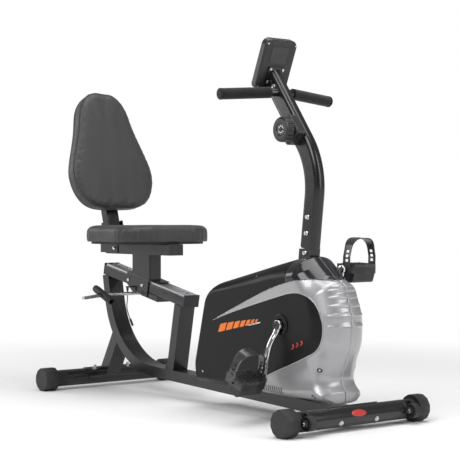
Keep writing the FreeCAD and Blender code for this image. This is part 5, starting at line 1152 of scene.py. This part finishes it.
for nm, side, d, pitch in (("right", -1, dr, 22.0), ("left", 1, -dr, 2.0)):
    body_ = "pedal_" + nm
    cen = F(CX, 0, CZ) + d * CL / 1000 + Vector((0, side * 128.0 / 1000, 0))
    rot = Matrix.Rotation(math.radians(pitch), 4, "Y")

    def pl(x, y, z):
        return cen + (rot @ Vector((x, y, z))) / 1000

    hw, ym = 51.0, side * 69.0
    P2 = round_poly([(-hw - 1.7, 7.4), (-hw - 1.7, 39.5, 19), (-hw + 11.25, 94.3, 44.5), (hw - 11.25, 94.3, 44.5), (hw + 1.7, 39.5, 19), (hw + 1.7, 7.4)], 2.0)
    nn, mm = len(P2), 18
    slotw = []
    vs, fs = [], []
    for i in range(nn):
        t2 = (P2[min(i + 1, nn - 1)] - P2[max(i - 1, 0)]).normalized()
        n2 = Vector((-t2.y, t2.x))
        for j in range(mm):
            wv = -17 + 34 * j / (mm - 1)
            # the band narrows a little over the arch, with beaded edges
            s01 = i / (nn - 1)
            nar = 0.9 + 0.36 * math.exp(-((s01 - 0.5) / 0.2) ** 4)
            bead = 0.7 if abs(wv) > 14.2 else 0.0
            rib = 0.35 * math.cos(wv * 2 * math.pi / 6.0) if 0.33 < s01 < 0.67 and abs(wv) < 13 else 0.0
            q = P2[i] + n2 * (bead + rib)
            vs.append(pl(wv * nar, ym + q.x, q.y))
    holes = set()
    for k in range(3):
        for base in (0, 1):
            i0 = 8 + 7 * k
            i0 = i0 if base == 0 else nn - 1 - i0 - 4
            for i in range(i0, i0 + 4):
                for j in range(5, 12):
                    holes.add((i, j))
    for i in range(nn - 1):
        for j in range(mm - 1):
            if (i, j) in holes:
                continue
            fs.append((i * mm + j, i * mm + j + 1, (i + 1) * mm + j + 1, (i + 1) * mm + j))
    me = bpy.data.meshes.new("pedal_strap_moulded_" + nm)
    me.from_pydata([tuple(v) for v in vs], [], fs)
    bm = bmesh.new()
    bm.from_mesh(me)
    loose = [v for v in bm.verts if not v.link_faces]
    bmesh.ops.delete(bm, geom=loose, context="VERTS")
    bmesh.ops.recalc_face_normals(bm, faces=bm.faces)
    bm.to_mesh(me)
    bm.free()
    me.polygons.foreach_set("use_smooth", [True] * len(me.polygons))
    ob = bpy.data.objects.new("pedal_strap_moulded_" + nm, me)
    scene.collection.objects.link(ob)
    me.materials.append(MT["strap_plastic"])
    so = ob.modifiers.new("thick", "SOLIDIFY")
    so.thickness = 0.0027
    so.offset = 0.0
    bv = ob.modifiers.new("edge", "BEVEL")
    bv.width = 0.0005
    bv.segments = 2
    bv.limit_method = "ANGLE"
    bv.angle_limit = math.radians(50)
    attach(ob, body_)
    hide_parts("pedal_strap_" + nm)
    # studs that hold the strap on both sides
    for k, (yy, sg) in enumerate(((ym - hw - 3.2, -1), (ym + hw + 3.2, 1))):
        for j, xx in enumerate((-9.0, 9.0)):
            lathe("strap_stud_%s_%d_%d" % (nm, k, j), [(0, -1.6), (3.6, -1.6), (3.6, 0.6), (2.9, 1.5), (1.2, 1.9), (0, 1.9)], pl(xx, yy, 12.5), rot @ Vector((0, sg, 0)), "strap_plastic", body_, seg=20)


# ---------------------------------------------------------------- printed shapes on the housing
def plate(name, poly, side, mat, body="frame", y=90.0, t=0.00028):
    """Flat printed shape, poly in (x, z) mm, on the side at |y| mm."""
    n_ = len(poly)
    v0 = [F(x, side * (y - 0.1), z) for x, z in poly]
    v1 = [p_ + Vector((0, side * (t + 0.0001), 0)) for p_ in v0]
    fs = [tuple(range(n_)), tuple(range(2 * n_ - 1, n_ - 1, -1))]
    for k in range(n_):
        k2 = (k + 1) % n_
        fs.append((k, n_ + k, n_ + k2, k2))
    return make(name, v0 + v1, fs, mat, body, smooth=False)


for nm, side in (("right", -1), ("left", 1)):
    # slanted bars that grow along a rising line
    base0, base1 = Vector((-520, 247)), Vector((-322, 288))
    dirv = (base1 - base0).normalized()
    up2 = Vector((0.18, 1.0)).normalized()
    s_ = 0.0
    Lb = (base1 - base0).length
    widths = [34, 30, 26, 22, 18, 14, 10]
    k = 0
    for wd in widths:
        hgt0 = 29 - 2.1 * k
        p0 = base0 + dirv * s_
        p1 = base0 + dirv * min(s_ + wd, Lb)
        lean = Vector((7.5, 0))
        poly = [p0 + up2 * 2, p1 + up2 * 2, p1 + up2 * hgt0 + lean, p0 + up2 * hgt0 + lean]
        # soft cut corners
        pts = []
        for i in range(4):
            a0, b0, c0 = poly[i - 1], poly[i], poly[(i + 1) % 4]
            for j in range(5):
                tt = j / 4.0
                e0 = b0 + (a0 - b0).normalized() * 3.0
                e1 = b0 + (c0 - b0).normalized() * 3.0
                pts.append(e0.lerp(b0, tt).lerp(b0.lerp(e1, tt), tt))
        plate("orange_bar_%s_%d" % (nm, k), [(q.x, q.y) for q in pts], side, "orange_print")
        s_ += wd + 6.5
        k += 1
    plate("pale_stripe_" + nm, [(-366, 279), (-312, 290), (-311, 294), (-365, 283)], side, "white_print")
    for k in range(3):
        x0 = -168 + 19 * k
        z0 = 221 + 6.5 * k
        plate("red_mark_%s_%d" % (nm, k), [(x0, z0), (x0 + 6, z0 + 1.5), (x0 + 13, z0 + 9.5), (x0 + 9, z0 + 17), (x0 + 3, z0 + 15.5), (x0 + 7, z0 + 9)], side, "red_print")

# red oval on the middle of the front stabilizer
flo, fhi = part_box("stabilizers")
STAB = bvh_of("stabilizers")
pts, nr = [], []
ring_n = 40
cv = []
for layer, (sc, lift) in enumerate(((0.0, 0.0006), (0.55, 0.0006), (0.97, 0.0005), (1.0, -0.0003))):
    for k in range(1 if sc == 0 else ring_n):
        t = 2 * math.pi * k / ring_n
        y_, z_ = -2 + 29 * sc * math.cos(t), 50 + 9.5 * sc * math.sin(t)
        hit = STAB.ray_cast(F(200, y_, z_), Vector((-1, 0, 0)))
        n_ = hit[1] if hit[1].x > 0 else -hit[1]
        cv.append(hit[0] + n_ * lift)
fs = []
for k in range(ring_n):
    k2 = (k + 1) % ring_n
    fs.append((0, 1 + k, 1 + k2))
    for l in range(2):
        a0 = 1 + l * ring_n
        fs.append((a0 + k, a0 + ring_n + k, a0 + ring_n + k2, a0 + k2))
make("red_oval_badge", cv, fs, "red_print", "frame")

# raised bright edge of the silver claw, both sides
for nm, side in (("right", -1), ("left", 1)):
    line = smooth_line(CLAW, 260)
    pts, rad = [], []
    for k, (x, z) in enumerate(line):
        p_, n_ = on_house(x, z, side, 0.0)
        if p_ is None:
            continue
        pts.append(p_)
        t = k / 259.0
        rad.append(0.0022 * min(1.0, 0.25 + 5 * t, 0.3 + 9 * (1 - t)))
    for _ in range(3):
        pts = [pts[0]] + [(pts[k - 1] + pts[k] * 2 + pts[k + 1]) / 4 for k in range(1, len(pts) - 1)] + [pts[-1]]
    tube("claw_edge_bead_" + nm, pts, rad, "nose_silver", "frame", seg=14, up=Vector((0, 1, 0)))

# ---------------------------------------------------------------- tension knob face
KX, KZ = -232.0, 871.0
kc = F(KX, -19.05 - 57.5, KZ)


def ring_plate(name, r0, r1, a0, a1, cen, axis, xdir, mat, body, t=0.0003, n=40):
    d = Vector(axis).normalized()
    x = Vector(xdir).normalized()
    y = d.cross(x)
    vs = []
    for k in range(n + 1):
        th = math.radians(a0 + (a1 - a0) * k / n)
        o = x * math.cos(th) + y * math.sin(th)
        for rr, h in ((r0, -0.0001), (r0, t), (r1, t), (r1, -0.0001)):
            vs.append(cen + o * (rr / 1000) + d * h)
    fs = []
    for k in range(n):
        for j in range(4):
            j2 = (j + 1) % 4
            fs.append((4 * k + j, 4 * k + j2, 4 * k + 4 + j2, 4 * k + 4 + j))
    fs.append((0, 3, 2, 1))
    fs.append((4 * n, 4 * n + 1, 4 * n + 2, 4 * n + 3))
    return make(name, vs, fs, mat, body, smooth=False)


ka, kx = Vector((0, -1, 0)), Vector((1, 0, 0))
ring_plate("knob_arc_a", 8.6, 10.6, 20, 160, kc, ka, kx, "white_print", "knob")
ring_plate("knob_arc_b", 8.6, 10.6, 200, 340, kc, ka, kx, "white_print", "knob")
for k in range(8):
    th = 30 + 300 * k / 7.0 - 150
    ring_plate("knob_tick_%d" % k, 12.6, 15.4, 90 + th - 3.2, 90 + th + 3.2, kc, ka, kx, "white_print", "knob", n=4)
lathe("knob_centre_boss", [(0, -0.4), (5.4, -0.4), (5.4, 0.7), (4.6, 1.3), (2.0, 1.6), (0, 1.6)], kc, ka, "pedal_plastic", "knob", seg=32)


def number(name, text, size, pos, xdir, ydir, mat, body, slot):
    cu_ = bpy.data.curves.new(name, "FONT")
    cu_.body = text
    cu_.size = size
    cu_.align_x = "CENTER"
    cu_.align_y = "CENTER"
    cu_.extrude = 0.00012
    cu_.materials.append(MT[mat])
    ob = bpy.data.objects.new(name, cu_)
    scene.collection.objects.link(ob)
    x, y = Vector(xdir).normalized(), Vector(ydir).normalized()
    mt_ = Matrix((x, y, x.cross(y))).transposed().to_4x4()
    mt_.translation = pos
    ob.matrix_world = mt_
    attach(ob, body)
    return ob


# ---------------------------------------------------------------- console display
CB = F(-340.0, 0, 1075.5)
cu_v = Vector((0.3891, 0, 0.9212))
cn_v = Vector((-0.9212, 0, 0.3891))
cx_v = Vector((0, -1, 0))


def con(x, y, z):
    return CB + (cx_v * x + cu_v * y + cn_v * z) / 1000


def con_plate(name, pts, z0, z1, mat, body="frame"):
    n_ = len(pts)
    vs = [con(x, y, z0) for x, y in pts] + [con(x, y, z1) for x, y in pts]
    fs = [tuple(range(n_)), tuple(range(2 * n_ - 1, n_ - 1, -1))]
    for k in range(n_):
        k2 = (k + 1) % n_
        fs.append((k, n_ + k, n_ + k2, k2))
    return make(name, vs, fs, mat, body, smooth=False)


def rrect(x0, y0, x1, y1, r_, n=6):
    out = []
    for cx_, cy_, a0 in ((x1 - r_, y1 - r_, 0), (x0 + r_, y1 - r_, 90), (x0 + r_, y0 + r_, 180), (x1 - r_, y0 + r_, 270)):
        for k in range(n + 1):
            t = math.radians(a0 + 90 * k / n)
            out.append((cx_ + r_ * math.cos(t), cy_ + r_ * math.sin(t)))
    return out


con_plate("lcd_glass_face", rrect(-38, 9, 38, 57, 2.5), 26.35, 26.6, "lcd_face")
SEGS = {"0": "abcdef", "1": "bc", "2": "abged", "3": "abgcd", "5": "afgcd", "8": "abcdefg"}


def digit(name, ch, x, y, w_, h_, th):
    z0, z1 = 26.58, 26.72
    box_ = {"a": (x, y + h_ - th, x + w_, y + h_), "d": (x, y, x + w_, y + th), "g": (x, y + h_ / 2 - th / 2, x + w_, y + h_ / 2 + th / 2),
            "f": (x, y + h_ / 2, x + th, y + h_), "b": (x + w_ - th, y + h_ / 2, x + w_, y + h_), "e": (x, y, x + th, y + h_ / 2), "c": (x + w_ - th, y, x + w_, y + h_ / 2)}
    for s_ in SEGS[ch]:
        x0, y0, x1, y1 = box_[s_]
        g_ = 0.25
        x0, y0, x1, y1 = x0 + g_, y0 + g_, x1 - g_, y1 - g_
        if x1 - x0 > y1 - y0:
            c_ = (y1 - y0) / 2
            pts = [(x0, y0 + c_), (x0 + c_, y0), (x1 - c_, y0), (x1, y0 + c_), (x1 - c_, y1), (x0 + c_, y1)]
        else:
            c_ = (x1 - x0) / 2
            pts = [(x0 + c_, y0), (x1, y0 + c_), (x1, y1 - c_), (x0 + c_, y1), (x0, y1 - c_), (x0, y0 + c_)]
        con_plate("%s_%s" % (name, s_), pts, z0, z1, "lcd_digit")


for k, ch in enumerate("000"):
    digit("lcd_big_%d" % k, ch, -16 + 15 * k, 16, 11, 20, 2.2)
for k, ch in enumerate("0000"):
    digit("lcd_small_%d" % k, ch, -26 + 9 * k + (3 if k > 1 else 0), 44, 6, 9, 1.3)
for k in range(5):
    con_plate("lcd_mark_%d" % k, rrect(-34, 14 + 7.2 * k, -24, 17.2 + 7.2 * k, 1.0, 3), 26.58, 26.70, "lcd_digit")

# ---------------------------------------------------------------- weld beads
def bead_line(name, pts, rad, body):
    """Rippled weld bead along a closed or open run of points."""
    fine = []
    for k in range(len(pts) - 1):
        L_ = (pts[k + 1] - pts[k]).length
        m_ = max(2, int(L_ / 0.0011))
        for i in range(m_):
            fine.append(pts[k].lerp(pts[k + 1], i / m_))
    fine.append(pts[-1])
    rr = [rad * (1 + 0.16 * math.sin(k * 1.55) + 0.10 * mnoise.noise(Vector((k * 0.35, 1.0, 0.0)))) for k in range(len(fine))]
    return tube(name, fine, rr, "black_frame", body, seg=10)


def box_ring(c, ux, uy, hx, hy, r_):
    out = []
    for sx, sy, a0 in ((1, 1, 0), (-1, 1, 90), (-1, -1, 180), (1, -1, 270)):
        for k in range(6):
            t = math.radians(a0 + 90 * k / 5)
            out.append(c + ux * (sx * (hx - r_) + r_ * math.cos(t)) / 1000 + uy * (sy * (hy - r_) + r_ * math.sin(t)) / 1000)
    out.append(out[0])
    return out
